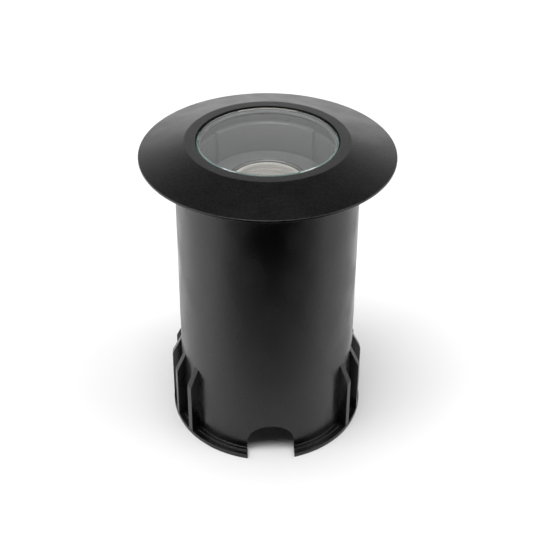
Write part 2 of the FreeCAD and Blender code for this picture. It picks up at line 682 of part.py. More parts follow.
def make_aim_ring():
    """Ring that turns on the housing's shelf; two curved pads screen the lamp, two gaps hold the pivots."""
    inner, wall_top = aim_wall_inner, sleeve_top - size["aim_wall_drop"]
    foot_top = aim_foot + size["aim_foot_thickness"]
    foot_outer = can_mouth - size["aim_foot_gap"]
    body, ring = turned_part("aim_ring", [
        (inner, aim_foot), (foot_outer, aim_foot), (foot_outer, foot_top),
        (aim_wall_outer, foot_top), (aim_wall_outer, wall_top), (inner, wall_top),
    ])
    section = new_sketch(body, "pad_section", "YZ_Plane")
    root = inner + size["aim_wall"] / 2
    pad_top = sleeve_top - size["pad_drop"]
    draw_outline(section, [
        (pad_inner, foot_top), (root, foot_top), (root, pad_top), (pad_inner, pad_top),
    ])
    screen = revolve(body, "pad", section, angle=size["pad_angle"])
    pattern_round(body, "pads", screen, Size.of(PAIR))
    holes = new_sketch(body, "pivot_holes", "YZ_Plane")
    draw_circle(holes, size["pivot_radius"] + size["screw_gap"], up=pivot_level)
    pocket(body, "pivot_bore", holes, can_mouth * 3, both_ways=True)


def make_lamp_tray():
    """Round tray with a collar for the lamp and two ears that hang on the pivots."""
    body, plate = turned_part("lamp_tray", [
        (size["tray_seat_radius"], tray_bottom),
        (tray_radius - size["tray_undercut"], tray_bottom),
        (tray_radius, tray_top),
        (collar_inner + size["collar_wall"], tray_top),
        (collar_inner + size["collar_wall"], collar_top),
        (collar_inner, collar_top),
        (collar_inner, tray_seat),
        (size["tray_seat_radius"], tray_seat),
    ])
    half, ear_root = size["ear_width"] / 2, tray_radius - size["ear_root_inset"]
    for side, sign in (("right", 1), ("left", -1)):
        foot = new_sketch(body, f"{side}_ear_foot", "XZ_Plane")
        draw_outline(foot, [
            (ear_root * sign, tray_bottom), (ear_outer * sign, tray_bottom),
            (ear_outer * sign, pivot_level), (ear_inner * sign, pivot_level),
            (ear_inner * sign, tray_top), (ear_root * sign, tray_top),
        ])
        pad(body, f"{side}_ear", foot, size["ear_width"], both_ways=True)
        top = new_sketch(body, f"{side}_ear_top", "YZ_Plane", lift=ear_inner * sign)
        draw_circle(top, half, up=pivot_level)
        pad(body, f"{side}_ear_round", top, size["ear_thickness"], downwards=sign < 0)
    bore = new_sketch(body, "pivot_holes", "YZ_Plane")
    draw_circle(bore, size["pivot_radius"] + size["pivot_running_gap"], up=pivot_level)
    pocket(body, "pivot_bore", bore, ear_outer * 3, both_ways=True)
    fixing = new_sketch(body, "strap_holes", "XY_Plane", lift=tray_top)
    hole = size["small_screw_radius"] + size["screw_gap"]
    draw_circle(fixing, hole, across=strap_screw_place)
    draw_circle(fixing, hole, across=-strap_screw_place)
    pocket(body, "strap_bores", fixing, size["tray_thickness"])


def pair_about_x(label, corners):
    """Two like fasteners on the tilt axis: an outline turned about +X, repeated half a turn round."""
    body = new_body(label)
    sketch = new_sketch(body, "section", "XZ_Plane")
    draw_outline(sketch, corners)
    place = sketch.addGeometry(Part.LineSegment(FreeCAD.Vector(0, pivot_level.number, 0),
                                                FreeCAD.Vector(ear_outer.number, pivot_level.number, 0)), True)
    sketch.addConstraint(Sketcher.Constraint("Horizontal", place))
    pin_point(sketch, place, 1, 0, pivot_level)
    reach = Sketcher.Constraint("Distance", place, ear_outer.number)
    bind(sketch, sketch.addConstraint(reach), ear_outer.formula)
    one = revolve(body, "turned", sketch, axis="Axis0")
    pattern_round(body, "pair", one, Size.of(PAIR))


def make_pivots():
    """Shoulder screws, washers and nuts on which the tray tilts; all of them stay with the aiming ring."""
    shank, play = size["pivot_radius"], size["pivot_seat_gap"]
    axis = pivot_level
    head_start = aim_wall_outer + play
    nut_end = ear_inner - play
    nut_start = nut_end - size["nut_thickness"]
    pair_about_x("pivot_screws", [
        (nut_start, axis), (nut_start, axis + shank),
        (head_start, axis + shank), (head_start, axis + size["pivot_head_radius"]),
        (head_start + size["pivot_head_thickness"], axis + size["pivot_head_radius"]),
        (head_start + size["pivot_head_thickness"], axis),
    ])
    bore = axis + shank + size["screw_gap"]
    start = ear_outer + play
    pair_about_x("pivot_washers", [
        (start, bore), (start + size["washer_thickness"], bore),
        (start + size["washer_thickness"], axis + size["washer_radius"]), (start, axis + size["washer_radius"]),
    ])
    pair_about_x("pivot_nuts", [
        (nut_start, bore), (nut_end, bore),
        (nut_end, axis + size["nut_radius"]), (nut_start, axis + size["nut_radius"]),
    ])


# ---------------------------------------------------------------- the lamp and what holds it

def reflector_curve(rim_radius, neck_radius, top, bottom):
    """A parabola's half section as a smooth curve from the neck up to the rim."""
    points = []
    for span in range(REFLECTOR_SPANS + 1):
        share = span / REFLECTOR_SPANS
        radius = math.sqrt(neck_radius ** 2 + (rim_radius ** 2 - neck_radius ** 2) * share)
        points.append(FreeCAD.Vector(radius, 0, bottom + (top - bottom) * share))
    curve = Part.BSplineCurve()
    curve.interpolate(points)
    return curve.toShape(), points[0], points[-1]


def make_lamp_reflector():
    """Parabolic glass reflector with a flat rim, recessed for its front glass."""
    shell, rim = size["lamp_shell"].number, size["lamp_rim_radius"].number
    face, under = lamp_face.number, lamp_rim_bottom.number
    neck, neck_radius = lamp_neck.number, size["lamp_neck_radius"].number
    step_level = face - size["lamp_face_thickness"].number - size["lamp_face_gap"].number
    recess = size["lamp_face_radius"].number
    throat = size["tray_seat_radius"].number - size["collar_gap"].number
    outside, outer_neck, outer_rim = reflector_curve(throat, neck_radius, under, neck)
    inside, inner_neck, inner_rim = reflector_curve(throat - shell, neck_radius - shell, step_level, neck)
    corners = [
        outer_rim, FreeCAD.Vector(rim, 0, under), FreeCAD.Vector(rim, 0, face),
        FreeCAD.Vector(recess, 0, face), FreeCAD.Vector(recess, 0, step_level), inner_rim,
    ]
    edges = [Part.makeLine(here, there) for here, there in zip(corners, corners[1:])]
    edges += [inside, Part.makeLine(inner_neck, outer_neck), outside]
    section = Part.Face(Part.Wire(Part.__sortEdges__(edges)))
    reflector = doc.addObject("Part::Feature", "lamp_reflector")
    reflector.Shape = section.revolve(FreeCAD.Vector(), FreeCAD.Vector(0, 0, 1), FULL_TURN)
    reflector.Label = "lamp_reflector"
    sub_parts.append(reflector)


def make_lamp():
    """Front glass, ceramic base, contact pins and quartz capsule of the reflector lamp."""
    glass_radius = size["lamp_face_radius"] - size["lamp_face_gap"]
    glass_bottom = lamp_face - size["lamp_face_thickness"]
    turned_part("lamp_front_glass", [
        (0, glass_bottom), (glass_radius, glass_bottom), (glass_radius, lamp_face), (0, lamp_face),
    ])
    base = new_body("lamp_base")
    block = new_sketch(base, "block", "XY_Plane", lift=lamp_end)
    draw_block(block, size["lamp_base_width"], size["lamp_base_breadth"])
    body_height = lamp_neck - lamp_end
    pad(base, "body", block, body_height)
    tenon = new_sketch(base, "tenon_round", "XY_Plane", lift=lamp_neck)
    draw_circle(tenon, size["lamp_neck_radius"] - size["lamp_shell"] - size["lamp_face_gap"])
    pad(base, "tenon", tenon, size["lamp_base_tenon"])

    pins = new_body("lamp_pins")
    pair = new_sketch(pins, "pair", "XY_Plane", lift=lamp_end)
    for sign in (1, -1):
        draw_circle(pair, size["pin_radius"], across=size["pin_pitch"] / 2 * sign)
    pad(pins, "pins", pair, size["pin_length"], downwards=True)

    capsule_foot = lamp_neck + size["lamp_base_tenon"]
    capsule_end = capsule_foot + size["capsule_length"]
    radius, tip = size["capsule_radius"], size["capsule_tip_radius"]
    capsule, tube = turned_part("lamp_capsule", [
        (0, capsule_foot), (radius, capsule_foot), (radius, capsule_end - radius), (tip, capsule_end), (0, capsule_end),
    ])
    dress(capsule, "Fillet", "dome", tube, ring_edges(tube.Shape, tip, capsule_end), size["capsule_tip_round"])


def make_lamp_clip():
    """Open wire ring that snaps into the collar over the lamp's rim."""
    clip = doc.addObject("Part::Torus", "lamp_clip")
    clip.Label = "lamp_clip"
    half_wire = size["clip_wire"] / 2
    clip.setExpression("Radius1", (collar_inner - size["clip_gap"] - half_wire).formula)
    clip.setExpression("Radius2", half_wire.formula)
    clip.setExpression("Angle3", (Size.of(FULL_TURN) - size["clip_opening"]).formula)
    clip.setExpression("Placement.Base.z", (lamp_face + size["clip_gap"] + half_wire).formula)
    sub_parts.append(clip)


def make_lampholder():
    """Two-pin ceramic lampholder on a sheet-metal strap under the tray, with their screws."""
    holder = new_body("lampholder")
    block = new_sketch(holder, "block", "XY_Plane", lift=holder_bottom)
    draw_block(block, size["holder_width"], size["holder_breadth"])
    solid = pad(holder, "body", block, size["holder_height"])
    upright = [
        f"Edge{number}" for number, edge in enumerate(solid.Shape.Edges, start=1)
        if abs(edge.tangentAt(edge.FirstParameter).z) > 0.99
    ]
    dress(holder, "Fillet", "upright_round", solid, upright, size["holder_round"])
    contacts = new_sketch(holder, "contact_holes", "XY_Plane", lift=holder_top)
    screws = new_sketch(holder, "screw_holes", "XY_Plane", lift=holder_bottom)
    for sign in (1, -1):
        draw_circle(contacts, size["pin_radius"] + size["pin_hole_gap"], across=size["pin_pitch"] / 2 * sign)
        draw_circle(screws, size["small_screw_radius"] + size["screw_gap"],
                    across=size["holder_screw_pitch"] / 2 * sign)
    pocket(holder, "contacts", contacts, size["pin_length"] + size["pin_hole_extra"])
    pocket(holder, "screw_bores", screws, size["small_screw_grip"] + size["screw_gap"], upwards=True)

    strap = new_body("lampholder_strap")
    section = new_sketch(strap, "section", "XZ_Plane")
    reach, metal = strap_reach, size["strap_thickness"]
    draw_outline(section, [
        (-strap_end, tray_bottom), (-reach, tray_bottom), (-reach, holder_bottom),
        (reach, holder_bottom), (reach, tray_bottom), (strap_end, tray_bottom),
        (strap_end, tray_bottom - metal), (strap_outer, tray_bottom - metal), (strap_outer, strap_bottom),
        (-strap_outer, strap_bottom), (-strap_outer, tray_bottom - metal), (-strap_end, tray_bottom - metal),
    ])
    pad(strap, "bent", section, size["strap_width"], both_ways=True)
    holes = new_sketch(strap, "holes", "XY_Plane", lift=tray_bottom)
    clear = size["small_screw_radius"] + size["screw_gap"]
    draw_circle(holes, size["strap_lead_hole"])
    for place in (strap_screw_place, size["holder_screw_pitch"] / 2):
        draw_circle(holes, clear, across=place)
        draw_circle(holes, clear, across=-place)
    pocket(strap, "bores", holes, (tray_bottom - strap_bottom) * 2, both_ways=True)

    screw_pair("strap_screws", strap_screw_place, tray_bottom - metal, size["tray_thickness"])
    screw_pair("lampholder_screws", size["holder_screw_pitch"] / 2, strap_bottom, size["small_screw_grip"])


def screw_pair(label, place, head_top, grip):
    """Two screws driven upwards at plus and minus place; grip is their length beyond the strap."""
    body = new_body(label)
    heads = new_sketch(body, "heads", "XY_Plane", lift=head_top)
    shanks = new_sketch(body, "shanks", "XY_Plane", lift=head_top)
    for sign in (1, -1):
        draw_circle(heads, size["small_head_radius"], across=place * sign)
        draw_circle(shanks, size["small_screw_radius"], across=place * sign)
    pad(body, "head", heads, size["small_head_thickness"], downwards=True)
    pad(body, "shank", shanks, size["strap_thickness"] + grip)


# ---------------------------------------------------------------- build, check and write

make_ground_sleeve()
make_fixture_can()
make_gland()
make_cover_ring()
make_lens_and_seals()
make_aim_ring()
make_lamp_tray()
make_pivots()
make_lamp_reflector()
make_lamp()
make_lamp_clip()
make_lampholder()
doc.recompute()

for item in doc.Objects:
    if "Invalid" in item.State or "Error" in item.State:
        raise RuntimeError(f"{item.Label} did not recompute: {item.State}")
for part in sub_parts:
    if part.Shape.isNull() or not part.Shape.isValid():
        raise RuntimeError(f"{part.Label} has no valid shape")

os.makedirs("parts", exist_ok=True)
for part in sub_parts:
    part.Shape.exportStep(os.path.join("parts", part.Label + ".step"))
    box = part.Shape.BoundBox
    print(f"{part.Label:20s} solids {len(part.Shape.Solids)}  volume {part.Shape.Volume:10.1f}"
          f"  x {box.XMin:7.2f} {box.XMax:7.2f}  z {box.ZMin:7.2f} {box.ZMax:7.2f}")
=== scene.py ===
"""Looks of an in ground well light, modelled round its packed frame.

A smooth black moulded sleeve with a ribbed foot, a fine textured shallow cover, a thick clear lens with a
greenish ground edge, and behind it the aiming ring, the tray and the reflector lamp. Under them, where only
other views and poses show them, are the sealed housing, the cable gland, the lampholder and the fasteners.
Lengths are in metres, heights are above the sleeve's foot, and every piece lies where its node lies.
"""

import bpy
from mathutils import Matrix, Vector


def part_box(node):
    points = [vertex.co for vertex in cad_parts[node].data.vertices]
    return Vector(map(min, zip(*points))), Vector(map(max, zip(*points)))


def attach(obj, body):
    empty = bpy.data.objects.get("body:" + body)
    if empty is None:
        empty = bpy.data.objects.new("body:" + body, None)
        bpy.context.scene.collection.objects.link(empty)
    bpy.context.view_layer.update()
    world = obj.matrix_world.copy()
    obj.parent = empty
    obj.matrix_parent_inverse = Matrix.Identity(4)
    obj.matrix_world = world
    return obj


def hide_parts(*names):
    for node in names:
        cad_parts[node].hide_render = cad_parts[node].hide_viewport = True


bl_info = {
    "name": "In Ground Well Light",
    "version": (1, 0, 0),
    "blender": (4, 5, 0),
    "location": "View3D > Sidebar > Well Light",
    "description": "Models and finishes a garden well light round its packed frame",
    "category": "Object",
}

import bmesh
import bpy
import math
from bpy.props import FloatProperty, FloatVectorProperty, IntProperty, PointerProperty
from mathutils import Matrix, Vector

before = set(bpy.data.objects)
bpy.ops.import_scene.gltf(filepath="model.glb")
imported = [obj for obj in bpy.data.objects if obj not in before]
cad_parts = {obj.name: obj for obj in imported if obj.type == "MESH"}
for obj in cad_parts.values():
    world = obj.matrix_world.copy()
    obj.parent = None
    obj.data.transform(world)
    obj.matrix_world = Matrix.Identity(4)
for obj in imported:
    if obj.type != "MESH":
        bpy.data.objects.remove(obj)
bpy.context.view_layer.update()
MM = 0.001
UP = Vector((0, 0, 1))
TURN = 2 * math.pi


def low(node):
    """Lowest corner of a node's box at rest."""
    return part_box(node)[0]


def high(node):
    """Highest corner of a node's box at rest."""
    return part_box(node)[1]


SLEEVE_TOP = high("ground_sleeve").z
COVER_TOP = high("cover_ring").z
LENS_TOP = high("glass_lens").z
LENS_BOTTOM = low("glass_lens").z
PIVOT_LEVEL = (low("pivot_screws").z + high("pivot_screws").z) / 2
LAMP_FACE = high("lamp_reflector").z


# ---------------------------------------------------------------- sizes and colours that a user would change

def length(label, description, millimetres):
    """A size in the panel, typed in millimetres and kept in metres."""
    return FloatProperty(name=label, description=description, default=millimetres * MM, precision=5, unit="LENGTH")


def count(label, description, number):
    """A number of like features in the panel."""
    return IntProperty(name=label, description=description, default=number, min=1)


def angle(label, description, degrees):
    """An angle in the panel, typed in degrees."""
    return FloatProperty(name=label, description=description, default=math.radians(degrees), subtype="ANGLE")


def linear(hex_colour):
    """An sRGB hex colour as linear red, green and blue."""
    channels = [int(hex_colour[place:place + 2], 16) / 255 for place in (1, 3, 5)]
    return [c / 12.92 if c <= 0.04045 else ((c + 0.055) / 1.055) ** 2.4 for c in channels]


def colour(label, description, hex_colour):
    """A colour in the panel."""
    return FloatVectorProperty(name=label, description=description, subtype="COLOR", default=linear(hex_colour))


class SleeveSizes(bpy.types.PropertyGroup):
    """The moulded sleeve that stays in the ground"""
    wall: length("Wall", "Wall of the tube", 3.0)
    foot_radius: length("Foot radius", "Outside of the tube at its foot", 62.6)
    top_radius: length("Top radius", "Outside of the tube at its top", 60.1)
    ledge_thickness: length("Ledge thickness", "Anchoring ledge round the foot", 3.0)
    step_width: length("Step width", "Raised band where ledge and tube meet", 3.0)
    step_rise: length("Step rise", "Height of that band", 0.8)
    rib_thickness: length("Rib thickness", "Upright ribs on the ledge", 4.5)
    rib_shoulder: length("Rib shoulder", "Height where a rib turns inwards", 43.5)
    rib_peak: length("Rib peak", "Height where a rib meets the tube", 57.5)
    rib_draft: length("Rib draft", "Lean of a rib's outer edge", 0.5)
    rib_round: length("Rib rounding", "Rounding of a rib's edges", 0.35)
    rib_pitch: angle("Rib pitch", "Angle from rib to rib", 17.5)
    rib_count: count("Ribs", "Ribs on each side", 5)
    arch_width: length("Arch width", "Cable arch", 33.0)
    arch_height: length("Arch height", "Cable arch, foot to crown", 25.3)


class CoverSizes(bpy.types.PropertyGroup):
    """The cover and its lens"""
    lip: length("Lip", "Thickness of the outer edge", 1.6)
    cone_rise: length("Cone rise", "Outer edge up to the flat ring", 8.15)
    flat_radius: length("Flat radius", "Outside of the flat ring round the lens", 53.05)
    skin: length("Skin", "Plate thickness of the cone", 2.6)
    seat_inner: length("Seat inner", "Annular seat under the cone", 55.0)
    seat_outer: length("Seat outer", "Annular seat under the cone", 59.4)
    skirt_inner: length("Skirt inner", "Inside of the skirt", 48.0)
    skirt_outer: length("Skirt outer", "Outside of the skirt", 52.1)
    groove_width: length("Groove width", "Groove for the ring seal", 3.2)
    rib_count: count("Ribs", "Ribs under the cone", 12)
    rib_thickness: length("Rib thickness", "Ribs under the cone", 1.8)
    rib_end: length("Rib end", "Outer end of those ribs", 76.0)
    lens_gap: length("Lens gap", "Glass to cover, all round", 0.9)
    lens_ledge: length("Lens ledge", "Radius of the opening under the glass", 43.4)
    lens_ledge_thickness: length("Ledge thickness", "Ledge that carries the glass", 2.1)
    lens_chamfer: length("Lens chamfer", "Ground edge under the glass", 0.7)
    lens_edge: length("Lens edge", "Ground and half polished edge on top of the glass", 0.8)


class HousingSizes(bpy.types.PropertyGroup):
    """The sealed housing, the aiming ring and the tray"""
    wall: length("Wall", "Wall of the housing", 2.2)
    mouth: length("Mouth", "Inside radius of the mouth", 52.4)
    mouth_lead: length("Mouth lead", "Slope at the top of the mouth", 1.0)
    shelf: length("Shelf depth", "Sleeve top down to the aiming ring's shelf", 28.0)
    waist: length("Waist", "Inside radius under the shelf", 47.0)
    floor_radius: length("Floor radius", "Inside radius at the floor", 44.5)
    floor_thickness: length("Floor thickness", "Floor plate", 3.0)
    gland_way: length("Gland way", "Radius of the hole for the cable gland", 8.1)
    rib_count: count("Ribs", "Ribs that centre the housing", 6)
    rib_thickness: length("Rib thickness", "Ribs that centre the housing", 2.0)
    rib_height: length("Rib height", "Ribs that centre the housing", 22.0)
    rib_gap: length("Rib gap", "Those ribs to the sleeve", 0.4)
    ring_inner: length("Ring inner", "Inside of the aiming ring's wall", 44.6)
    ring_wall: length("Ring wall", "Wall of the aiming ring", 2.4)
    ring_foot: length("Ring foot", "Foot of the aiming ring", 3.0)
    ring_drop: length("Ring drop", "Sleeve top down to the ring's wall top", 4.5)
    pad_inner: length("Pad inner", "Inner face of the curved pads", 42.0)
    pad_angle: angle("Pad angle", "How far round one pad reaches", 96)
    tray_seat: length("Tray opening", "Opening under the lamp", 23.4)
    tray_seat_thickness: length("Seat thickness", "Ledge that carries the lamp's rim", 1.2)
    tray_thickness: length("Tray thickness", "Tray plate", 2.8)
    tray_slope: length("Tray slope", "How far the tray's edge leans in under it", 1.6)
    collar_inner: length("Collar inner", "Collar round the lamp", 25.6)
    collar_wall: length("Collar wall", "Collar round the lamp", 1.3)
    collar_rise: length("Collar rise", "Collar above the tray", 2.4)
    ear_width: length("Ear width", "Ears that hang on the pivots", 10.0)
    ear_thickness: length("Ear thickness", "Ears that hang on the pivots", 2.5)
    ear_root: length("Ear root", "Middle of the tray to where an ear's foot starts", 37.5)


class GlandSizes(bpy.types.PropertyGroup):
    """The cable gland in the housing's floor"""
    thread_radius: length("Thread radius", "Thread of the gland", 8.0)
    thread_pitch: length("Thread pitch", "Thread of the gland", 1.5)
    thread_depth: length("Thread depth", "Thread of the gland", 0.5)
    thread_gap: length("Thread gap", "Thread to cap, nut and washer", 0.1)
    hex_chamfer: length("Hexagon chamfer", "Body's hexagon and nut", 0.9)
    bore: length("Bore", "Radius of the lead's way up", 5.0)
    cup_depth: length("Cup depth", "Cup for the seal", 8.0)
    seal_radius: length("Seal radius", "Outside of the rubber seal", 6.5)
    seal_bore: length("Seal bore", "Radius of the cable's way through the seal", 4.0)
    cap_gap: length("Cap gap", "Cap to hexagon", 0.6)
    cap_floor: length("Cap floor", "End wall of the cap", 2.4)
    cap_cone: length("Cap cone", "Height of the sloping end of the cap", 4.0)
    cap_radius: length("Cap radius", "Outside of the cap", 11.0)
    cap_end: length("Cap end", "Radius of the cap's end face", 7.6)
    cap_hole: length("Cap hole", "Radius of the cable's way through the cap", 4.8)
    flute_radius: length("Flute radius", "Finger flutes of the cap", 1.6)
    flute_count: count("Flutes", "Finger flutes of the cap", 8)


class LampSizes(bpy.types.PropertyGroup):
    """The reflector lamp"""
    shell_radius: length("Shell radius", "Outside of the reflector under its rim", 23.0)
    shell_wall: length("Shell wall", "Glass of the reflector", 1.4)
    neck_radius: length("Neck radius", "Outside of the reflector's neck", 9.0)
    rim_thickness: length("Rim thickness", "Rim of the reflector", 2.0)
    seat_radius: length("Seat radius", "Recess for the front glass", 24.0)
    seat_depth: length("Seat depth", "Recess for the front glass", 1.1)
    facet_count: count("Facets", "Mirror facets, all round", 36)
    facet_rings: count("Facet rings", "Mirror facets, from neck to rim", 9)
    front_rim: length("Front rim", "Ground rim of the front glass", 2.6)
    ridge_pitch: length("Ridge pitch", "Half a pressed ring of the front glass", 1.7)
    ridge_depth: length("Ridge depth", "Pressed rings of the front glass", 0.5)
    ridge_count: count("Ridges", "Tops and valleys of those rings", 12)
    base_breadth: length("Base breadth", "Ceramic base, from flat to flat", 11.0)
    tenon_radius: length("Tenon radius", "Round part of the base, inside the neck", 7.5)
    tenon_root: length("Tenon root", "How far the round part reaches into the base", 1.0)
    pin_radius: length("Pin radius", "Contact pins", 0.75)
    pin_spacing: length("Pin spacing", "From pin to pin", 5.33)
    capsule_wall: length("Capsule wall", "Quartz tube", 0.9)
    capsule_pinch: length("Capsule pinch", "Solid end of the quartz tube", 4.0)


class HolderSizes(bpy.types.PropertyGroup):
    """The lampholder, its strap and the fasteners"""
    slot_width: length("Slot width", "Slots in the lampholder's ends", 4.2)
    slot_height: length("Slot height", "Slots in the lampholder's ends", 2.5)
    slot_level: length("Slot level", "Lampholder's foot up to the slots", 4.5)
    slot_depth: length("Slot depth", "Slots in the lampholder's ends", 0.8)
    pin_way: length("Pin way", "Radius of the holes for the pins", 0.85)
    pin_way_depth: length("Pin way depth", "Holes for the pins", 8.5)
    screw_way: length("Screw way", "Radius of the screw holes", 1.35)
    screw_way_depth: length("Screw way depth", "Screw holes in the lampholder", 5.05)
    screw_place: length("Screw place", "Middle to the lampholder's screws", 6.2)
    strap_metal: length("Strap metal", "Sheet metal of the strap", 1.2)
    strap_foot: length("Strap foot", "Length of the strap's feet", 8.0)
    strap_bend: length("Strap bend", "Inside of the strap's bends", 0.8)
    strap_screw_place: length("Strap screw place", "Middle to the strap's screws", 35.2)
    lead_way: length("Lead way", "Radius of the hole for the leads", 3.0)
    screw_head: length("Screw head", "Height of the small screws' heads", 1.6)
    screw_shank: length("Screw shank", "Radius of the small screws", 1.3)
    pivot_head: length("Pivot head", "Height of the pivot screws' heads", 1.8)
    pivot_shank: length("Pivot shank", "Radius of the pivot screws", 1.5)
    washer_thickness: length("Washer thickness", "Washers on the pivots", 0.4)
    nut_height: length("Nut height", "Nuts on the pivots", 2.4)


class Colours(bpy.types.PropertyGroup):
    """Colours of the finishes"""
    cover: colour("Cover", "Textured black composite", "#070707")
    sleeve: colour("Sleeve", "Smooth black polypropylene", "#0e0e0f")
    housing: colour("Housing", "Black glass-filled nylon", "#202021")
    inside: colour("Inside", "Aiming ring and tray", "#444545")
    glass: colour("Glass", "Body tint of the lens", "#f9fbfa")
    glass_edge: colour("Glass edge", "Ground edge of the lens", "#94b2ae")
    silicone: colour("Silicone", "Flat seals", "#6d6e70")
    rubber: colour("Rubber", "Ring seal and gland seal", "#141414")
    steel: colour("Steel", "Screws, washers and nuts", "#b9b8b5")
    ceramic: colour("Ceramic", "Lampholder and lamp base", "#d9d3c6")
    mirror: colour("Mirror", "Coating of the reflector", "#e9e4da")
    lamp_front: colour("Lamp front", "Frosted front glass of the lamp", "#98938d")
    lamp_rim: colour("Lamp rim", "Ground rim of the lamp's front", "#a9a69e")
    # Partly the bare glass's own dark tone, partly painted shade of the gap inside the tray's collar.
    lamp_edge_and_shade: colour("Lamp edge", "Bare glass edge of the reflector", "#5c5b58")


# ---------------------------------------------------------------- modelling helpers

def keep_mesh(name, bm, materials, body, node, crease=32):
    """Turn a bmesh into a finished piece that rides on its body and stands for its node.

    Faces that meet at more than crease degrees keep a sharp edge between them.
    """
    bmesh.ops.remove_doubles(bm, verts=bm.verts[:], dist=0.002 * MM)
    bmesh.ops.recalc_face_normals(bm, faces=bm.faces[:])
    mesh = bpy.data.meshes.new(name)
    bm.to_mesh(mesh)
    bm.free()
    piece = bpy.data.objects.new(name, mesh)
    bpy.context.scene.collection.objects.link(piece)
    for each in materials:
        mesh.materials.append(each)
    for face in mesh.polygons:
        face.use_smooth = True
    mesh.set_sharp_from_angle(angle=math.radians(crease))
    even = piece.modifiers.new("even_shading", "WEIGHTED_NORMAL")
    even.keep_sharp = True
    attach(piece, body)
    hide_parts(node)


def give_second_finish(bm, belongs):
    """Give the faces that a test of (radius, height) picks the piece's second material."""
    for face in bm.faces:
        middle = face.calc_center_median()
        if belongs(math.hypot(middle.x, middle.y), middle.z):
            face.material_index = 1


def bevel(bm, geometry, amount, segments, affect="EDGES"):
    """Round edges or corners, with nothing left to the operator's defaults."""
    bmesh.ops.bevel(bm, geom=geometry, offset=amount, offset_type="OFFSET", segments=segments, profile=0.5,
                    affect=affect, material=-1, clamp_overlap=True)


def round_corners(bm, corners, roundings, segments=3):
    """Round the corners of a wire outline, each by its own amount."""
    for corner, amount in zip(corners, roundings):
        if amount > 0:
            bevel(bm, [corner], amount, segments, affect="VERTICES")


def wire_outline(bm, points, closed=True):
    """Join points into one outline and give back its corners."""
    corners = [bm.verts.new(point) for point in points]
    for here, there in zip(corners, corners[1:]):
        bm.edges.new((here, there))
    if closed:
        bm.edges.new((corners[-1], corners[0]))
    return corners


def lathe(section, steps=160, sweep=TURN, start=0.0):
    """Turn a closed section of (radius, height, rounding) about +Z, all round or by a part of a turn."""
    bm = bmesh.new()
    points = [(radius, 0, height) for radius, height, rounding in section]
    on_axis = section[0][0] == 0 and section[-1][0] == 0
    corners = wire_outline(bm, points, closed=not on_axis)
    round_corners(bm, corners, [rounding for radius, height, rounding in section])
    bmesh.ops.rotate(bm, verts=bm.verts[:], cent=(0, 0, 0), matrix=Matrix.Rotation(start, 3, "Z"))
    whole = sweep == TURN
    outline = bm.verts[:] + bm.edges[:]
    if not whole:
        bmesh.ops.contextual_create(bm, geom=bm.edges[:])
        outline = bm.faces[:]
    bmesh.ops.spin(bm, geom=outline, cent=(0, 0, 0), axis=UP, angle=sweep, steps=steps, use_merge=whole)
    bmesh.ops.remove_doubles(bm, verts=bm.verts[:], dist=0.001 * MM)
    return bm


def round_section(middle, level, radius, sides):
    """Section of a ring of round wire or cord."""
    return [(middle + radius * math.cos(TURN * side / sides), level + radius * math.sin(TURN * side / sides), 0)
            for side in range(sides)]


def round_topped(half, spring, foot, steps):
    """Outline of (across, height): a half circle from its spring line up, and straight sides down to its foot."""
    top = [(half * math.cos(math.pi * step / steps), spring + half * math.sin(math.pi * step / steps))
           for step in range(steps + 1)]
    return top + [(-half, foot), (half, foot)]


def prism(points, reach, corner_roundings=()):
    """Push a flat outline along a vector into a solid, its corners rounded first."""
    bm = bmesh.new()
    round_corners(bm, wire_outline(bm, points), corner_roundings, segments=4)
    face = bmesh.ops.contextual_create(bm, geom=bm.edges[:])["faces"][0]
    grown = bmesh.ops.extrude_face_region(bm, geom=[face])["geom"]
    bmesh.ops.translate(bm, verts=[item for item in grown if isinstance(item, bmesh.types.BMVert)], vec=reach)
    return bm


def slab(outline, thickness, turn=0.0, rounding=0.0, corner_roundings=()):
    """A plate in the XZ plane, centred on it, rounded, then turned about +Z."""
    bm = prism([(across, -thickness / 2, height) for across, height in outline], (0, thickness, 0),
               corner_roundings)
    bmesh.ops.recalc_face_normals(bm, faces=bm.faces[:])
    if rounding:
        bevel(bm, bm.edges[:], rounding, 2)
    bmesh.ops.rotate(bm, verts=bm.verts[:], cent=(0, 0, 0), matrix=Matrix.Rotation(turn, 3, "Z"))
    return bm


def merge_into(target, *others):
    """Add other bmeshes to the target as further closed shells."""
    for other in others:
        scratch = bpy.data.meshes.new("scratch")
        other.to_mesh(scratch)
        target.from_mesh(scratch)
        other.free()
        bpy.data.meshes.remove(scratch)
    return target


def carve(bm, tool, operation):
    """Unite with, or cut by, another closed bmesh and give back the result."""
    holders = []
    for name, shape in (("carved", bm), ("tool", tool)):
        mesh = bpy.data.meshes.new(name)
        bmesh.ops.recalc_face_normals(shape, faces=shape.faces[:])
        shape.to_mesh(mesh)
        shape.free()
        holder = bpy.data.objects.new(name, mesh)
        bpy.context.scene.collection.objects.link(holder)
        holders.append(holder)
    target, cutter = holders
    modifier = target.modifiers.new("carve", "BOOLEAN")
    modifier.object = cutter
    modifier.operation = operation
    modifier.solver = "EXACT"
    bpy.context.view_layer.update()
    result = bmesh.new()
    result.from_object(target, bpy.context.evaluated_depsgraph_get())
    for holder in holders:
        mesh = holder.data
        bpy.data.objects.remove(holder)
        bpy.data.meshes.remove(mesh)
    return result


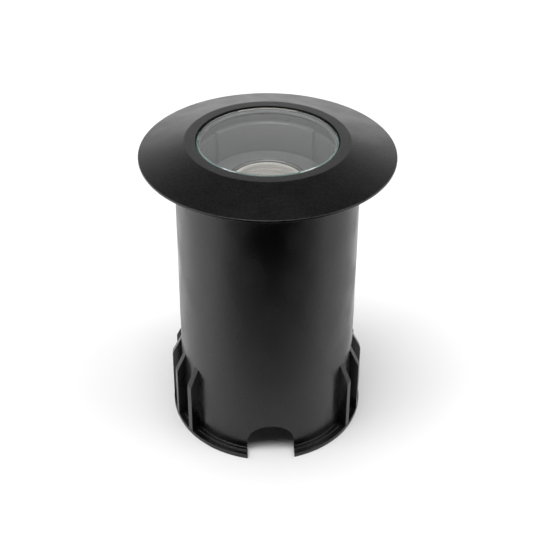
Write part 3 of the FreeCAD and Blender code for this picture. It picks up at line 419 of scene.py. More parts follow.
def hexagon(flat, bottom, top, bore, chamfer):
    """A hexagonal nut with chamfered corners, flat across its flats."""
    bm = bmesh.new()
    corner = flat / 2 / math.cos(math.pi / 6)
    bmesh.ops.create_cone(bm, cap_ends=True, segments=6, radius1=corner, radius2=corner, depth=top - bottom)
    bmesh.ops.rotate(bm, verts=bm.verts[:], cent=(0, 0, 0), matrix=Matrix.Rotation(math.pi / 2, 3, "Z"))
    bmesh.ops.translate(bm, verts=bm.verts[:], vec=(0, 0, (top + bottom) / 2))
    turned = lathe([(0, bottom, 0), (corner - chamfer, bottom, 0), (corner + chamfer, bottom + chamfer, 0),
                    (corner + chamfer, top - chamfer, 0), (corner - chamfer, top, 0), (0, top, 0)], steps=48)
    hole = lathe([(0, bottom - chamfer, 0), (bore, bottom - chamfer, 0), (bore, top + chamfer, 0),
                  (0, top + chamfer, 0)], steps=48)
    return carve(carve(bm, turned, "INTERSECT"), hole, "DIFFERENCE")


def thread(radius, start, end, pitch, depth):
    """Section points of a thread, drawn as rings, from one height to another."""
    turns = max(1, round(abs(end - start) / pitch))
    rise = (end - start) / turns
    points = []
    for turn in range(turns):
        foot = start + turn * rise
        points += [(radius - depth, foot + rise * 0.1, 0), (radius, foot + rise * 0.5, 0),
                   (radius - depth, foot + rise * 0.9, 0)]
    return points


def round_bar(radius, bottom, top, across=0.0, along=0.0):
    """A plain round tool that cuts or fills a hole at a place."""
    bar = lathe([(0, bottom, 0), (radius, bottom, 0), (radius, top, 0), (0, top, 0)], steps=32)
    bmesh.ops.translate(bar, verts=bar.verts[:], vec=(across, along, 0))
    return bar


def edge_rise(edge):
    """How far up an edge reaches from its lower end."""
    return abs(edge.verts[0].co.z - edge.verts[1].co.z)


def block(width, breadth, bottom, top, rounding, upright_rounding=0.0):
    """A box on its base with rounded edges, its upright ones rounded more."""
    bm = bmesh.new()
    bmesh.ops.create_cube(bm, size=1.0)
    bmesh.ops.scale(bm, verts=bm.verts[:], vec=(width, breadth, top - bottom))
    bmesh.ops.translate(bm, verts=bm.verts[:], vec=(0, 0, (top + bottom) / 2))
    if upright_rounding:
        bevel(bm, [edge for edge in bm.edges if edge_rise(edge) > (top - bottom) / 2], upright_rounding, 4)
    bevel(bm, [edge for edge in bm.edges if edge_rise(edge) < 0.01 * MM], rounding, 2)
    return bm


def pan_head_screw(head_radius, head_height, shank_radius, shank_length):
    """A pan head screw with a cross recess: head from 0 upwards, threaded shank downwards."""
    bm = lathe([
        (0, -shank_length, 0), (shank_radius * 0.7, -shank_length, 0),
        *thread(shank_radius, -shank_length + 0.2 * MM, -0.4 * MM, 0.6 * MM, 0.14 * MM),
        (shank_radius, 0, 0), (head_radius, 0, 0.15 * MM), (head_radius, head_height * 0.5, head_height * 0.3),
        (head_radius * 0.55, head_height, head_height * 0.2), (0, head_height, 0),
    ], steps=40)
    half, deep = head_radius * 0.62, head_height * 0.35
    wing = [(-half * 0.55, deep), (half * 0.55, deep), (half, head_height * 1.2), (-half, head_height * 1.2)]
    cross = carve(slab(wing, head_radius * 0.24), slab(wing, head_radius * 0.24, math.pi / 2), "UNION")
    return carve(bm, cross, "DIFFERENCE")


def placed(bm, place, tilt=None):
    """Turn a bmesh about the origin, then move it to its place."""
    if tilt is not None:
        bmesh.ops.rotate(bm, verts=bm.verts[:], cent=(0, 0, 0), matrix=tilt)
    bmesh.ops.translate(bm, verts=bm.verts[:], vec=place)
    return bm


# ---------------------------------------------------------------- materials

EVEN = (1, 1, 1)


def empty_tree(owner):
    """The node tree of a material or a world, with nothing in it yet."""
    owner.use_nodes = True
    owner.node_tree.nodes.clear()
    return owner.node_tree


def add_node(tree, kind, settings=None, links=None):
    """One node with its settings and the outputs that feed it."""
    node = tree.nodes.new(kind)
    for name, value in (settings or {}).items():
        if name in node.inputs:
            node.inputs[name].default_value = value
        else:
            setattr(node, name, value)
    for name, source in (links or {}).items():
        tree.links.new(source, node.inputs[name])
    return node


def patterned_material(name, settings, shade=None, gloss=None, relief=None, shadow=None):
    """One Principled shader with its own settings, and noise on Object coordinates that varies it.

    A grain is (millimetres from feature to feature, detail, stretch). shade is (grain, base colour, lighter by,
    darker by), gloss is (grain, lowest roughness, highest roughness) and relief is (grain, depth in millimetres).
    shadow is the share of the lamps' light that clear glass keeps from what lies behind it.
    """
    material = bpy.data.materials.new(name)
    tree = empty_tree(material)
    shader = add_node(tree, "ShaderNodeBsdfPrincipled", settings)
    add_node(tree, "ShaderNodeOutputMaterial", links={"Surface": shader.outputs[0]})
    place = add_node(tree, "ShaderNodeTexCoord").outputs["Object"]
    noise = {}
    for grain in dict.fromkeys(varied[0] for varied in (shade, gloss, relief) if varied):
        millimetres, detail, stretch = grain
        mapped = add_node(tree, "ShaderNodeMapping", {"Scale": stretch}, {"Vector": place})
        noise[grain] = add_node(tree, "ShaderNodeTexNoise", {"Scale": 1 / (millimetres * MM), "Detail": detail},
                                {"Vector": mapped.outputs[0]}).outputs[0]
    if shade:
        grain, base, light, dark = shade
        ramp = add_node(tree, "ShaderNodeValToRGB", links={"Fac": noise[grain]})
        ramp.color_ramp.interpolation = "EASE"
        ends = ramp.color_ramp.elements
        ends[0].position, ends[1].position = 0.33, 0.67
        ends[0].color = [channel * dark for channel in base] + [1]
        ends[1].color = [channel * light for channel in base] + [1]
        tree.links.new(ramp.outputs[0], shader.inputs["Base Color"])
    if gloss:
        grain, lowest, highest = gloss
        spread = add_node(tree, "ShaderNodeMapRange", {
            "From Min": 0.22, "From Max": 0.78, "To Min": lowest, "To Max": highest,
            "interpolation_type": "SMOOTHERSTEP"}, {"Value": noise[grain]})
        tree.links.new(spread.outputs[0], shader.inputs["Roughness"])
    if relief:
        grain, depth = relief
        bump = add_node(tree, "ShaderNodeBump", {"Distance": depth * MM}, {"Height": noise[grain]})
        tree.links.new(bump.outputs[0], shader.inputs["Normal"])
    if shadow:
        shaded = add_node(tree, "ShaderNodeLightPath").outputs["Is Shadow Ray"]
        solid = add_node(tree, "ShaderNodeMapRange", {"To Min": 1.0, "To Max": shadow}, {"Value": shaded})
        tree.links.new(solid.outputs[0], shader.inputs["Alpha"])
    return material


def textured_composite(colours):
    """Glass-filled polyester moulded against a spark-eroded tool: black, matte, finely pebbled, tiny pale specks.

    The pits between the pebbles swallow most of its shine, so its specular level is low. The real pebble is about
    0.3 mm across and is drawn at 1.1 mm, because a finer one doesn't show.
    """
    pebble = (1.1, 4.0, EVEN)
    return patterned_material("textured_composite", {"IOR": 1.54, "Specular IOR Level": 0.13},
                              shade=(pebble, colours.cover, 3.4, 0.3),
                              gloss=((14.0, 2.0, EVEN), 0.34, 0.40), relief=(pebble, 0.07))


def polished_composite(colours):
    """The cover's outer lip, where the tool is polished: the same black composite, smooth and semi gloss."""
    cloud = (12.0, 2.0, EVEN)
    return patterned_material("polished_composite", {"IOR": 1.54},
                              shade=(cloud, colours.cover, 1.3, 0.8), gloss=(cloud, 0.24, 0.32))


def smooth_polypropylene(colours):
    """Polypropylene moulded against a polished tool: black, semi gloss, with soft patchy flow marks."""
    flow = (14.0, 0.0, (1, 1, 0.6))
    return patterned_material("smooth_polypropylene", {"IOR": 1.49},
                              shade=(flow, colours.sleeve, 1.12, 0.9), gloss=(flow, 0.20, 0.33),
                              relief=((30.0, 0.0, EVEN), 0.05))


def glass_filled_nylon(name, base, roughness):
    """Glass-filled nylon straight from the mould: black, satin, with a fine dull bloom.

    The fibres that roughen its skin are 0.01 mm thick and are drawn as a grain of 0.4 mm.
    """
    bloom = (5.0, 3.0, EVEN)
    return patterned_material(name, {"IOR": 1.53}, shade=(bloom, base, 1.06, 0.94),
                              gloss=(bloom, roughness - 0.03, roughness + 0.03), relief=((0.4, 2.0, EVEN), 0.01))


def toughened_glass(colours):
    """Toughened soda-lime float glass: clear, faintly green, polished flat."""
    return patterned_material("toughened_glass", {"IOR": 1.52, "Roughness": 0.0, "Transmission Weight": 1.0,
                                                  "Base Color": [*colours.glass, 1]}, shadow=0.12)


def ground_glass_edge(colours):
    """The lens's edge, ground and half polished: the iron in the glass shows there as green."""
    return patterned_material("ground_glass_edge", {"IOR": 1.52, "Roughness": 0.12, "Transmission Weight": 0.45,
                                                    "Specular IOR Level": 1.0},
                              shade=((2.5, 2.0, (1, 1, 4)), colours.glass_edge, 1.08, 0.9))


def silicone_rubber(colours):
    """Grey silicone sheet, die cut: soft matte."""
    cloud = (2.0, 2.0, EVEN)
    return patterned_material("silicone_rubber", {"IOR": 1.41},
                              shade=(cloud, colours.silicone, 1.08, 0.92), gloss=(cloud, 0.55, 0.68))


def black_rubber(colours):
    """Moulded nitrile rubber: black, dull with a slight sheen."""
    dust = (1.2, 4.0, EVEN)
    return patterned_material("black_rubber", {"IOR": 1.52},
                              shade=(dust, colours.rubber, 1.4, 0.8), gloss=(dust, 0.42, 0.58))


def satin_steel(name, colours, roughness, shine=1.0):
    """Stainless or plated steel, drawn, rolled or cold headed: satin, with fine upright scratches.

    The scratches are 0.3 mm wide, because real ones don't show. shine under 1 darkens the colour as painted shade,
    for wire that lies in the shade of a recess.
    """
    scratch = (0.3, 2.0, (1, 1, 6))
    return patterned_material(name, {"Metallic": 1.0},
                              shade=(scratch, colours.steel, 1.05 * shine, 0.85 * shine),
                              gloss=(scratch, roughness, roughness + 0.12))


def steatite_ceramic(colours):
    """Dry-pressed steatite: creamy white, unglazed, slightly speckled."""
    speck = (0.8, 4.0, EVEN)
    return patterned_material("steatite_ceramic", {"IOR": 1.57}, shade=(speck, colours.ceramic, 1.03, 0.9),
                              gloss=(speck, 0.5, 0.65), relief=(speck, 0.01))


def aluminised_glass(colours):
    """Pressed glass with a vacuum-deposited aluminium coat: a warm bright mirror, a little hazy."""
    haze = (1.5, 2.0, EVEN)
    return patterned_material("aluminised_glass", {"Metallic": 1.0},
                              shade=(haze, colours.mirror, 1.02, 0.94), gloss=(haze, 0.22, 0.32))


def frosted_pressed_glass(colours):
    """Borosilicate lamp front, pressed with rings and frosted behind: creamy, hazy, half see-through."""
    return patterned_material("frosted_pressed_glass", {"IOR": 1.47, "Roughness": 0.32, "Transmission Weight": 0.45},
                              shade=((1.2, 2.0, EVEN), colours.lamp_front, 1.02, 0.96))


def bare_glass_and_painted_shade(colours):
    """Edge of the reflector, left without its coat: thick pressed glass that looks dark against the mirror. Its
    colour is darkened further as painted shade of the gap inside the tray's collar.
    """
    return patterned_material("bare_glass_and_painted_shade", {"IOR": 1.47, "Roughness": 0.2, "Transmission Weight": 0.5},
                              shade=((1.2, 2.0, EVEN), colours.lamp_edge_and_shade, 1.05, 0.9))


def creamy_pressed_rim(colours):
    """Thick rim of the lamp, ground flat: creamy, brighter than the face inside it."""
    return patterned_material("creamy_pressed_rim", {"IOR": 1.47, "Roughness": 0.28, "Transmission Weight": 0.2},
                              shade=((1.2, 2.0, EVEN), colours.lamp_rim, 1.04, 0.95))


def quartz_glass():
    """Drawn quartz tube: clear with a slight surface wave."""
    return patterned_material("quartz_glass", {"IOR": 1.46, "Roughness": 0.03, "Transmission Weight": 1.0},
                              relief=((5.0, 2.0, EVEN), 0.02))


# ---------------------------------------------------------------- the pieces

class WELL_OT_sleeve(bpy.types.Operator):
    """Model the ribbed sleeve with its two cable arches"""
    bl_idname = "well.sleeve"
    bl_label = "Ground sleeve"

    def execute(self, context):
        s = context.scene.well_sleeve
        edge = high("ground_sleeve").x
        lean = (s.foot_radius - s.top_radius) / SLEEVE_TOP
        band = s.foot_radius + s.step_width
        # Levels of edges above the arches, close together at first, keep the long faces evenly shaded.
        levels = [s.arch_height + gap * MM for gap in (0, 2.5, 5, *range(13, 157, 13))]
        tube = lathe([
            (s.foot_radius - s.wall, 0, 0),
            (edge, 0, 0.2 * MM),
            (edge, s.ledge_thickness, 0.5 * MM),
            (band, s.ledge_thickness, 0.3 * MM),
            (band, s.ledge_thickness + s.step_rise, 0.3 * MM),
            (s.foot_radius - lean * s.ledge_thickness, s.ledge_thickness + s.step_rise, 0.5 * MM),
            *[(s.foot_radius - lean * height, height, 0) for height in levels],
            (s.top_radius, SLEEVE_TOP, 0.4 * MM),
            (s.top_radius - s.wall, SLEEVE_TOP, 0.4 * MM),
            *[(s.foot_radius - lean * height - s.wall, height, 0) for height in reversed(levels)],
        ], steps=192)
        root = s.foot_radius - lean * s.rib_peak
        outline = [
            (root - s.wall / 2, s.ledge_thickness / 2), (edge - 0.2 * MM, s.ledge_thickness / 2),
            (edge - 0.2 * MM - s.rib_draft, s.rib_shoulder), (root, s.rib_peak),
            (root - s.wall / 2, s.rib_peak),
        ]
        corners = [0, 0, 1.2 * MM, 0, 0]
        ribs = bmesh.new()
        for side in (0, math.pi):
            for index in range(s.rib_count):
                turn = side + (index - (s.rib_count - 1) / 2) * s.rib_pitch
                merge_into(ribs, slab(outline, s.rib_thickness, turn, s.rib_round, corners))
        sleeve = carve(tube, ribs, "UNION")
        half = s.arch_width / 2
        spring = s.arch_height - half
        arch = prism([(across, -edge * 1.5, height) for across, height in round_topped(half, spring, -spring, 24)],
                     (0, edge * 3, 0))
        sleeve = carve(sleeve, arch, "DIFFERENCE")
        keep_mesh("ground_sleeve_moulding", sleeve, [smooth_polypropylene(context.scene.well_colours)], "sleeve",
                  "ground_sleeve")
        return {"FINISHED"}


class WELL_OT_cover(bpy.types.Operator):
    """Model the shallow cover with its skirt, seal groove and ribs"""
    bl_idname = "well.cover"
    bl_label = "Cover ring"

    def execute(self, context):
        s = context.scene.well_cover
        edge = high("cover_ring").x
        rim = COVER_TOP - s.cone_rise
        slope = s.cone_rise / (edge - s.flat_radius)
        recess = high("glass_lens").x + s.lens_gap
        ledge_top = low("lens_gasket").z
        seat = high("cover_gasket").z
        skirt_end = low("cover_ring").z
        groove = (low("cover_o_ring").z + high("cover_o_ring").z) / 2
        groove_floor = s.skirt_outer + 0.2 * MM - (high("cover_o_ring").z - low("cover_o_ring").z)

        def cone(radius):
            """Height of the cone's top at a radius."""
            return rim + slope * (edge - radius)

        ring = lathe([
            (recess, COVER_TOP, 0.35 * MM),
            (recess, ledge_top, 0),
            (s.lens_ledge, ledge_top, 0.2 * MM),
            (s.lens_ledge, ledge_top - s.lens_ledge_thickness, 0.4 * MM),
            (s.skirt_inner, ledge_top - s.lens_ledge_thickness, 0.3 * MM),
            (s.skirt_inner, skirt_end, 0.4 * MM),
            (s.skirt_outer, skirt_end, 0.5 * MM),
            (s.skirt_outer, groove - s.groove_width / 2, 0.2 * MM),
            (groove_floor, groove - s.groove_width / 2, 0.2 * MM),
            (groove_floor, groove + s.groove_width / 2, 0.2 * MM),
            (s.skirt_outer, groove + s.groove_width / 2, 0.2 * MM),
            (s.skirt_outer, cone(s.flat_radius) - s.skin, 0.4 * MM),
            (s.seat_inner, cone(s.seat_inner) - s.skin, 0.4 * MM),
            (s.seat_inner, seat, 0.2 * MM),
            (s.seat_outer, seat, 0.2 * MM),
            (s.seat_outer, cone(s.seat_outer) - s.skin, 0.4 * MM),
            (edge - s.lip / slope / 2, rim - s.lip, 0.5 * MM),
            (edge, rim - s.lip, 0.3 * MM),
            (edge, rim, 0.3 * MM),
            (s.flat_radius, COVER_TOP, 0.5 * MM),
        ], steps=224)
        rib = [(s.seat_outer - 0.5 * MM, seat + s.lip), (s.rib_end, cone(s.rib_end) - s.skin),
               (s.rib_end, cone(s.rib_end) - s.skin / 2),
               (s.seat_outer - 0.5 * MM, cone(s.seat_outer) - s.skin / 2)]
        ribs = bmesh.new()
        for index in range(s.rib_count):
            merge_into(ribs, slab(rib, s.rib_thickness, TURN * index / s.rib_count))
        ring = carve(ring, ribs, "UNION")
        # The outermost faces are the lip, where the tool is polished.
        give_second_finish(ring, lambda radius, height: radius > edge - 0.25 * MM)
        colours = context.scene.well_colours
        keep_mesh("cover_moulding", ring, [textured_composite(colours), polished_composite(colours)], "cover",
                  "cover_ring")
        return {"FINISHED"}


class WELL_OT_lens(bpy.types.Operator):
    """Model the thick glass lens with its ground edge"""
    bl_idname = "well.lens"
    bl_label = "Glass lens"

    def execute(self, context):
        s = context.scene.well_cover
        radius = high("glass_lens").x
        glass = lathe([
            (0, LENS_BOTTOM, 0), (radius, LENS_BOTTOM, s.lens_chamfer),
            (radius, LENS_TOP - s.lens_edge, 0), (radius - s.lens_edge, LENS_TOP, 0), (0, LENS_TOP, 0),
        ], steps=192)
        give_second_finish(glass, lambda reach, height: (reach > radius - s.lens_edge
                                                         and height > LENS_TOP - s.lens_edge))
        colours = context.scene.well_colours
        keep_mesh("lens_disc", glass, [toughened_glass(colours), ground_glass_edge(colours)], "cover",
                  "glass_lens", crease=8)
        return {"FINISHED"}


class WELL_OT_seals(bpy.types.Operator):
    """Model the flat seals, the ring seal and the gland's rubber"""
    bl_idname = "well.seals"
    bl_label = "Seals"

    def execute(self, context):
        cover, gland = context.scene.well_cover, context.scene.well_gland
        silicone = silicone_rubber(context.scene.well_colours)
        rubber = black_rubber(context.scene.well_colours)
        for node, inner in (("lens_gasket", cover.lens_ledge), ("cover_gasket", cover.seat_inner + 0.3 * MM)):
            bottom, top, outer = low(node).z, high(node).z, high(node).x
            flat = lathe([(inner, bottom, 0), (outer, bottom, 0), (outer, top, 0.2 * MM), (inner, top, 0.2 * MM)])
            keep_mesh(node + "_sheet", flat, [silicone], "cover", node)
        bottom, top = low("cover_o_ring").z, high("cover_o_ring").z
        radius = (top - bottom) / 2
        seal = lathe(round_section(high("cover_o_ring").x - radius, (bottom + top) / 2, radius, 16))
        keep_mesh("cover_ring_seal", seal, [rubber], "cover", "cover_o_ring")
        for node, inner, rounding in (("gland_seal", gland.seal_bore, 0.8 * MM),
                                      ("gland_washer", gland.thread_radius + gland.thread_gap, 0.4 * MM)):
            bottom, top, outer = low(node).z, high(node).z, high(node).x
            ring = lathe([(inner, bottom, rounding), (outer, bottom, rounding), (outer, top, rounding / 2),
                          (inner, top, rounding / 2)], steps=72)
            keep_mesh(node + "_ring", ring, [rubber], "housing", node)
        return {"FINISHED"}


class WELL_OT_housing(bpy.types.Operator):
    """Model the sealed housing with its flange, shelf and centring ribs"""
    bl_idname = "well.housing"
    bl_label = "Fixture can"

    def execute(self, context):
        s = context.scene.well_housing
        bottom, top = low("fixture_can").z, high("fixture_can").z
        shelf = SLEEVE_TOP - s.shelf
        flange = high("fixture_can").x
        way = s.gland_way
        can = lathe([
            (way, bottom, 0.3 * MM),
            (s.floor_radius + s.wall, bottom, 4.0 * MM),
            (s.waist + s.wall, shelf - s.wall - (s.mouth - s.waist), 1.5 * MM),
            (s.mouth + s.wall, shelf - s.wall, 1.5 * MM),
            (s.mouth + s.wall, SLEEVE_TOP, 0.8 * MM),
            (flange, SLEEVE_TOP, 0.3 * MM),
            (flange, top, 0.5 * MM),
            (s.mouth + s.mouth_lead, top, 0.3 * MM),
            (s.mouth, top - s.mouth_lead, 0.3 * MM),
            (s.mouth, shelf, 0.4 * MM),
            (s.waist, shelf, 0.4 * MM),
            (s.floor_radius, bottom + s.floor_thickness, 2.0 * MM),
            (way, bottom + s.floor_thickness, 0.3 * MM),
        ], steps=160)
        outer = context.scene.well_sleeve.top_radius - context.scene.well_sleeve.wall - s.rib_gap
        lower = shelf + s.wall
        start, wall = s.mouth + s.wall / 2, s.mouth + s.wall
        outline = [(start, lower), (wall, lower), (outer, lower + outer - wall), (outer, lower + s.rib_height),
                   (start, lower + s.rib_height)]
        ribs = bmesh.new()
        for index in range(s.rib_count):
            merge_into(ribs, slab(outline, s.rib_thickness, TURN * index / s.rib_count, 0.3 * MM))
        can = carve(can, ribs, "UNION")
        nylon = glass_filled_nylon("housing_nylon", context.scene.well_colours.housing, 0.42)
        keep_mesh("fixture_can_moulding", can, [nylon], "housing", "fixture_can")
        return {"FINISHED"}


class WELL_OT_gland(bpy.types.Operator):
    """Model the cable gland: threaded body, locknut and fluted cap"""
    bl_idname = "well.gland"
    bl_label = "Cable gland"

    def execute(self, context):
        s = context.scene.well_gland
        nylon = glass_filled_nylon("gland_nylon", context.scene.well_colours.housing, 0.36)
        bottom, top = low("gland_body").z, high("gland_body").z
        hex_bottom = high("gland_cap").z + s.cap_gap
        hex_top = low("gland_washer").z
        cup = s.seal_radius + 0.1 * MM
        inner = s.thread_radius + s.thread_gap
        tube = lathe([
            (cup, bottom, 0.3 * MM), (cup, bottom + s.cup_depth, 0.2 * MM),
            (s.bore, bottom + s.cup_depth, 0.2 * MM), (s.bore, top, 0.5 * MM),
            (s.thread_radius - 0.6 * MM, top, 0.2 * MM),
            *thread(s.thread_radius, top - 0.5 * MM, hex_top, s.thread_pitch, s.thread_depth),
            *thread(s.thread_radius, hex_bottom, bottom + 0.5 * MM, s.thread_pitch, s.thread_depth),
            (s.thread_radius - 0.6 * MM, bottom, 0.2 * MM),
        ], steps=72)
        head = hexagon(2 * high("gland_body").y, hex_bottom, hex_top, s.bore + 1.0 * MM, s.hex_chamfer)
        keep_mesh("gland_body_moulding", carve(tube, head, "UNION"), [nylon], "housing", "gland_body")
        nut = hexagon(2 * high("gland_locknut").y, low("gland_locknut").z, high("gland_locknut").z,
                      inner, s.hex_chamfer)
        keep_mesh("gland_locknut_moulding", nut, [nylon], "housing", "gland_locknut")
        bottom, top = low("gland_cap").z, high("gland_cap").z
        floor = bottom + s.cap_floor
        cap = lathe([
            (s.cap_hole, bottom, 0.6 * MM), (s.cap_end, bottom, 1.2 * MM),
            (s.cap_radius, bottom + s.cap_cone, 1.0 * MM), (s.cap_radius, top, 0.5 * MM),
            (inner, top, 0.3 * MM), (inner, floor, 0.3 * MM),
            (s.cap_hole, floor, 0.3 * MM),
        ], steps=96)
        flutes = bmesh.new()
        reach = s.cap_radius + s.flute_radius / 2
        for index in range(s.flute_count):
            turn = TURN * index / s.flute_count
            merge_into(flutes, round_bar(s.flute_radius, bottom - 1 * MM, top + 1 * MM,
                                         reach * math.cos(turn), reach * math.sin(turn)))
        cap = carve(cap, flutes, "DIFFERENCE")
        keep_mesh("gland_cap_moulding", cap, [nylon], "gland_cap", "gland_cap")
        return {"FINISHED"}


class WELL_OT_aiming_ring(bpy.types.Operator):
    """Model the aiming ring and its two curved pads"""
    bl_idname = "well.aiming_ring"
    bl_label = "Aiming ring"

    def execute(self, context):
        s = context.scene.well_housing
        foot, pad_top = low("aim_ring").z, high("aim_ring").z
        outer = high("aim_ring").x
        wall_top = SLEEVE_TOP - s.ring_drop
        ring = lathe([
            (s.ring_inner, foot, 0.3 * MM), (outer, foot, 0.3 * MM), (outer, foot + s.ring_foot, 0.4 * MM),
            (s.ring_inner + s.ring_wall, foot + s.ring_foot, 0.5 * MM),
            (s.ring_inner + s.ring_wall, wall_top, 0.4 * MM), (s.ring_inner, wall_top, 0.9 * MM),
        ], steps=144)
        root = s.ring_inner + s.ring_wall / 2
        for middle in (math.pi / 2, -math.pi / 2):
            screen = lathe([
                (s.pad_inner, foot + s.ring_foot, 0), (root, foot + s.ring_foot, 0),
                (root, pad_top, 0.3 * MM), (s.pad_inner, pad_top, 0.9 * MM),
            ], steps=48, sweep=s.pad_angle, start=middle - s.pad_angle / 2)
            merge_into(ring, screen)
        plastic = glass_filled_nylon("inside_plastic", context.scene.well_colours.inside, 0.24)
        keep_mesh("aiming_ring_moulding", ring, [plastic], "aiming_ring", "aim_ring")
        return {"FINISHED"}


class WELL_OT_tray(bpy.types.Operator):
    """Model the lamp tray with its collar and pivot ears"""
    bl_idname = "well.tray"
    bl_label = "Lamp tray"

    def execute(self, context):
        s = context.scene.well_housing
        bottom = low("lamp_tray").z
        top = bottom + s.tray_thickness
        seat = bottom + s.tray_seat_thickness
        edge = high("lamp_tray").y
        collar_top = top + s.collar_rise
        tray = lathe([
            (s.tray_seat, bottom, 0), (edge - s.tray_slope, bottom, 0.3 * MM), (edge, top, 0.5 * MM),
            (s.collar_inner + s.collar_wall, top, 0.5 * MM),
            (s.collar_inner + s.collar_wall, collar_top, 0.6 * MM),
            (s.collar_inner, collar_top, 0.6 * MM), (s.collar_inner, seat, 0.2 * MM),
            (s.tray_seat, seat, 0.2 * MM),
        ], steps=144)
        outer = high("lamp_tray").x
        inner = outer - s.ear_thickness
        ear_outline = round_topped(s.ear_width / 2, PIVOT_LEVEL, bottom, 16)
        for side in (1, -1):
            ear = prism([(inner * side, along, height) for along, height in ear_outline],
                        ((outer - inner) * side, 0, 0))
            foot = slab([(s.ear_root * side, bottom), ((inner + 0.5 * MM) * side, bottom),
                         ((inner + 0.5 * MM) * side, top), (s.ear_root * side, top)], s.ear_width)
            tray = carve(carve(tray, foot, "UNION"), ear, "UNION")
        holder = context.scene.well_holder
        holes = bmesh.new()
        for side in (1, -1):
            merge_into(holes, round_bar(holder.screw_shank + 0.1 * MM, bottom - 1 * MM, top + 1 * MM,
                                        across=holder.strap_screw_place * side))
        tray = carve(tray, holes, "DIFFERENCE")
        plastic = glass_filled_nylon("tray_plastic", context.scene.well_colours.inside, 0.24)
        keep_mesh("lamp_tray_moulding", tray, [plastic], "tray", "lamp_tray")
        return {"FINISHED"}


class WELL_OT_reflector(bpy.types.Operator):
    """Model the lamp's faceted reflector"""
    bl_idname = "well.reflector"
    bl_label = "Lamp reflector"

    def execute(self, context):
        s = context.scene.well_lamp
        rim, under, neck = high("lamp_reflector").x, LAMP_FACE - s.rim_thickness, low("lamp_reflector").z
        seat = LAMP_FACE - s.seat_depth

        def parabola(wide, narrow, top, index):
            """One level of a bowl that is narrow at the neck and wide at its top."""
            share = index / s.facet_rings
            return math.sqrt(narrow ** 2 + (wide ** 2 - narrow ** 2) * share), neck + (top - neck) * share, 0

        outside = [parabola(s.shell_radius, s.neck_radius, under, index) for index in range(s.facet_rings + 1)]
        inside = [parabola(s.shell_radius - s.shell_wall, s.neck_radius - s.shell_wall, seat, index)
                  for index in range(s.facet_rings, -1, -1)]
        shell = lathe(outside + [(rim, under, 0.3 * MM), (rim, LAMP_FACE, 0.5 * MM),
                                 (s.seat_radius, LAMP_FACE, 0.2 * MM), (s.seat_radius, seat, 0)] + inside,
                      steps=s.facet_count)
        # The rim gets the bare glass, whose dark colour is partly painted shade of the gap inside the tray's collar.
        give_second_finish(shell, lambda radius, height: radius > s.seat_radius - 0.3 * MM and height > under)
        colours = context.scene.well_colours
        keep_mesh("reflector_shell", shell, [aluminised_glass(colours), bare_glass_and_painted_shade(colours)], "lamp",
                  "lamp_reflector", crease=4)
        return {"FINISHED"}


class WELL_OT_lamp_front(bpy.types.Operator):
    """Model the lamp's front glass with its pressed rings"""
    bl_idname = "well.lamp_front"
    bl_label = "Lamp front glass"

    def execute(self, context):
        s = context.scene.well_lamp
        radius, bottom = high("lamp_front_glass").x, low("lamp_front_glass").z
        ridges = [(radius - (2 + step) * s.ridge_pitch, LAMP_FACE - step % 2 * s.ridge_depth, 0.4 * MM)
                  for step in range(s.ridge_count)]
        disc = lathe([(0, bottom, 0), (radius, bottom, 0.2 * MM), (radius, LAMP_FACE, 0.2 * MM),
                      (radius - s.front_rim, LAMP_FACE, 0), *ridges, (0, LAMP_FACE, 0)], steps=96)
        give_second_finish(disc, lambda reach, height: reach > radius - s.front_rim)
        colours = context.scene.well_colours
        keep_mesh("lamp_front_disc", disc, [frosted_pressed_glass(colours), creamy_pressed_rim(colours)], "lamp",
                  "lamp_front_glass", crease=24)
        return {"FINISHED"}


class WELL_OT_lamp_base(bpy.types.Operator):
    """Model the lamp's ceramic base and its contact pins"""
    bl_idname = "well.lamp_base"
    bl_label = "Lamp base and pins"

    def execute(self, context):
        s = context.scene.well_lamp
        colours = context.scene.well_colours
        bottom, neck, top = low("lamp_base").z, low("lamp_reflector").z, high("lamp_base").z
        base = block(2 * high("lamp_base").x, s.base_breadth, bottom, neck, 0.5 * MM, 1.2 * MM)
        tenon = lathe([(0, neck - s.tenon_root, 0), (s.tenon_radius, neck - s.tenon_root, 0),
                       (s.tenon_radius, top, 0.4 * MM), (0, top, 0)], steps=64)
        keep_mesh("lamp_base_block", carve(base, tenon, "UNION"), [steatite_ceramic(colours)], "lamp",
                  "lamp_base")
        pins = bmesh.new()
        tip, root = low("lamp_pins").z, high("lamp_pins").z
        for side in (1, -1):
            pin = lathe([(0, tip, 0), (s.pin_radius, tip, s.pin_radius * 0.6), (s.pin_radius, root, 0),
                         (0, root, 0)], steps=24)
            merge_into(pins, placed(pin, (s.pin_spacing / 2 * side, 0, 0)))
        keep_mesh("lamp_pin_pair", pins, [satin_steel("nickel_plated_wire", colours, 0.2)], "lamp",
                  "lamp_pins")
        return {"FINISHED"}


class WELL_OT_capsule(bpy.types.Operator):
    """Model the hollow quartz capsule inside the reflector"""
    bl_idname = "well.capsule"
    bl_label = "Lamp capsule"

    def execute(self, context):
        s = context.scene.well_lamp
        bottom, top, radius = low("lamp_capsule").z, high("lamp_capsule").z, high("lamp_capsule").x
        wall, inner = s.capsule_wall, radius - s.capsule_wall
        capsule = lathe([
            (0, bottom, 0), (radius, bottom, 0.6 * MM), (radius, top - radius, 2.0 * MM),
            (radius * 0.5, top, 1.0 * MM), (0, top, 0),
        ], steps=48)
        hollow = lathe([
            (0, bottom + s.capsule_pinch, 0), (inner, bottom + s.capsule_pinch, 1.2 * MM),
            (inner, top - radius, 1.2 * MM), (radius * 0.4, top - wall, 0.6 * MM), (0, top - wall, 0),
        ], steps=48)
        keep_mesh("lamp_capsule_tube", carve(capsule, hollow, "DIFFERENCE"), [quartz_glass()], "lamp",
                  "lamp_capsule")
        return {"FINISHED"}


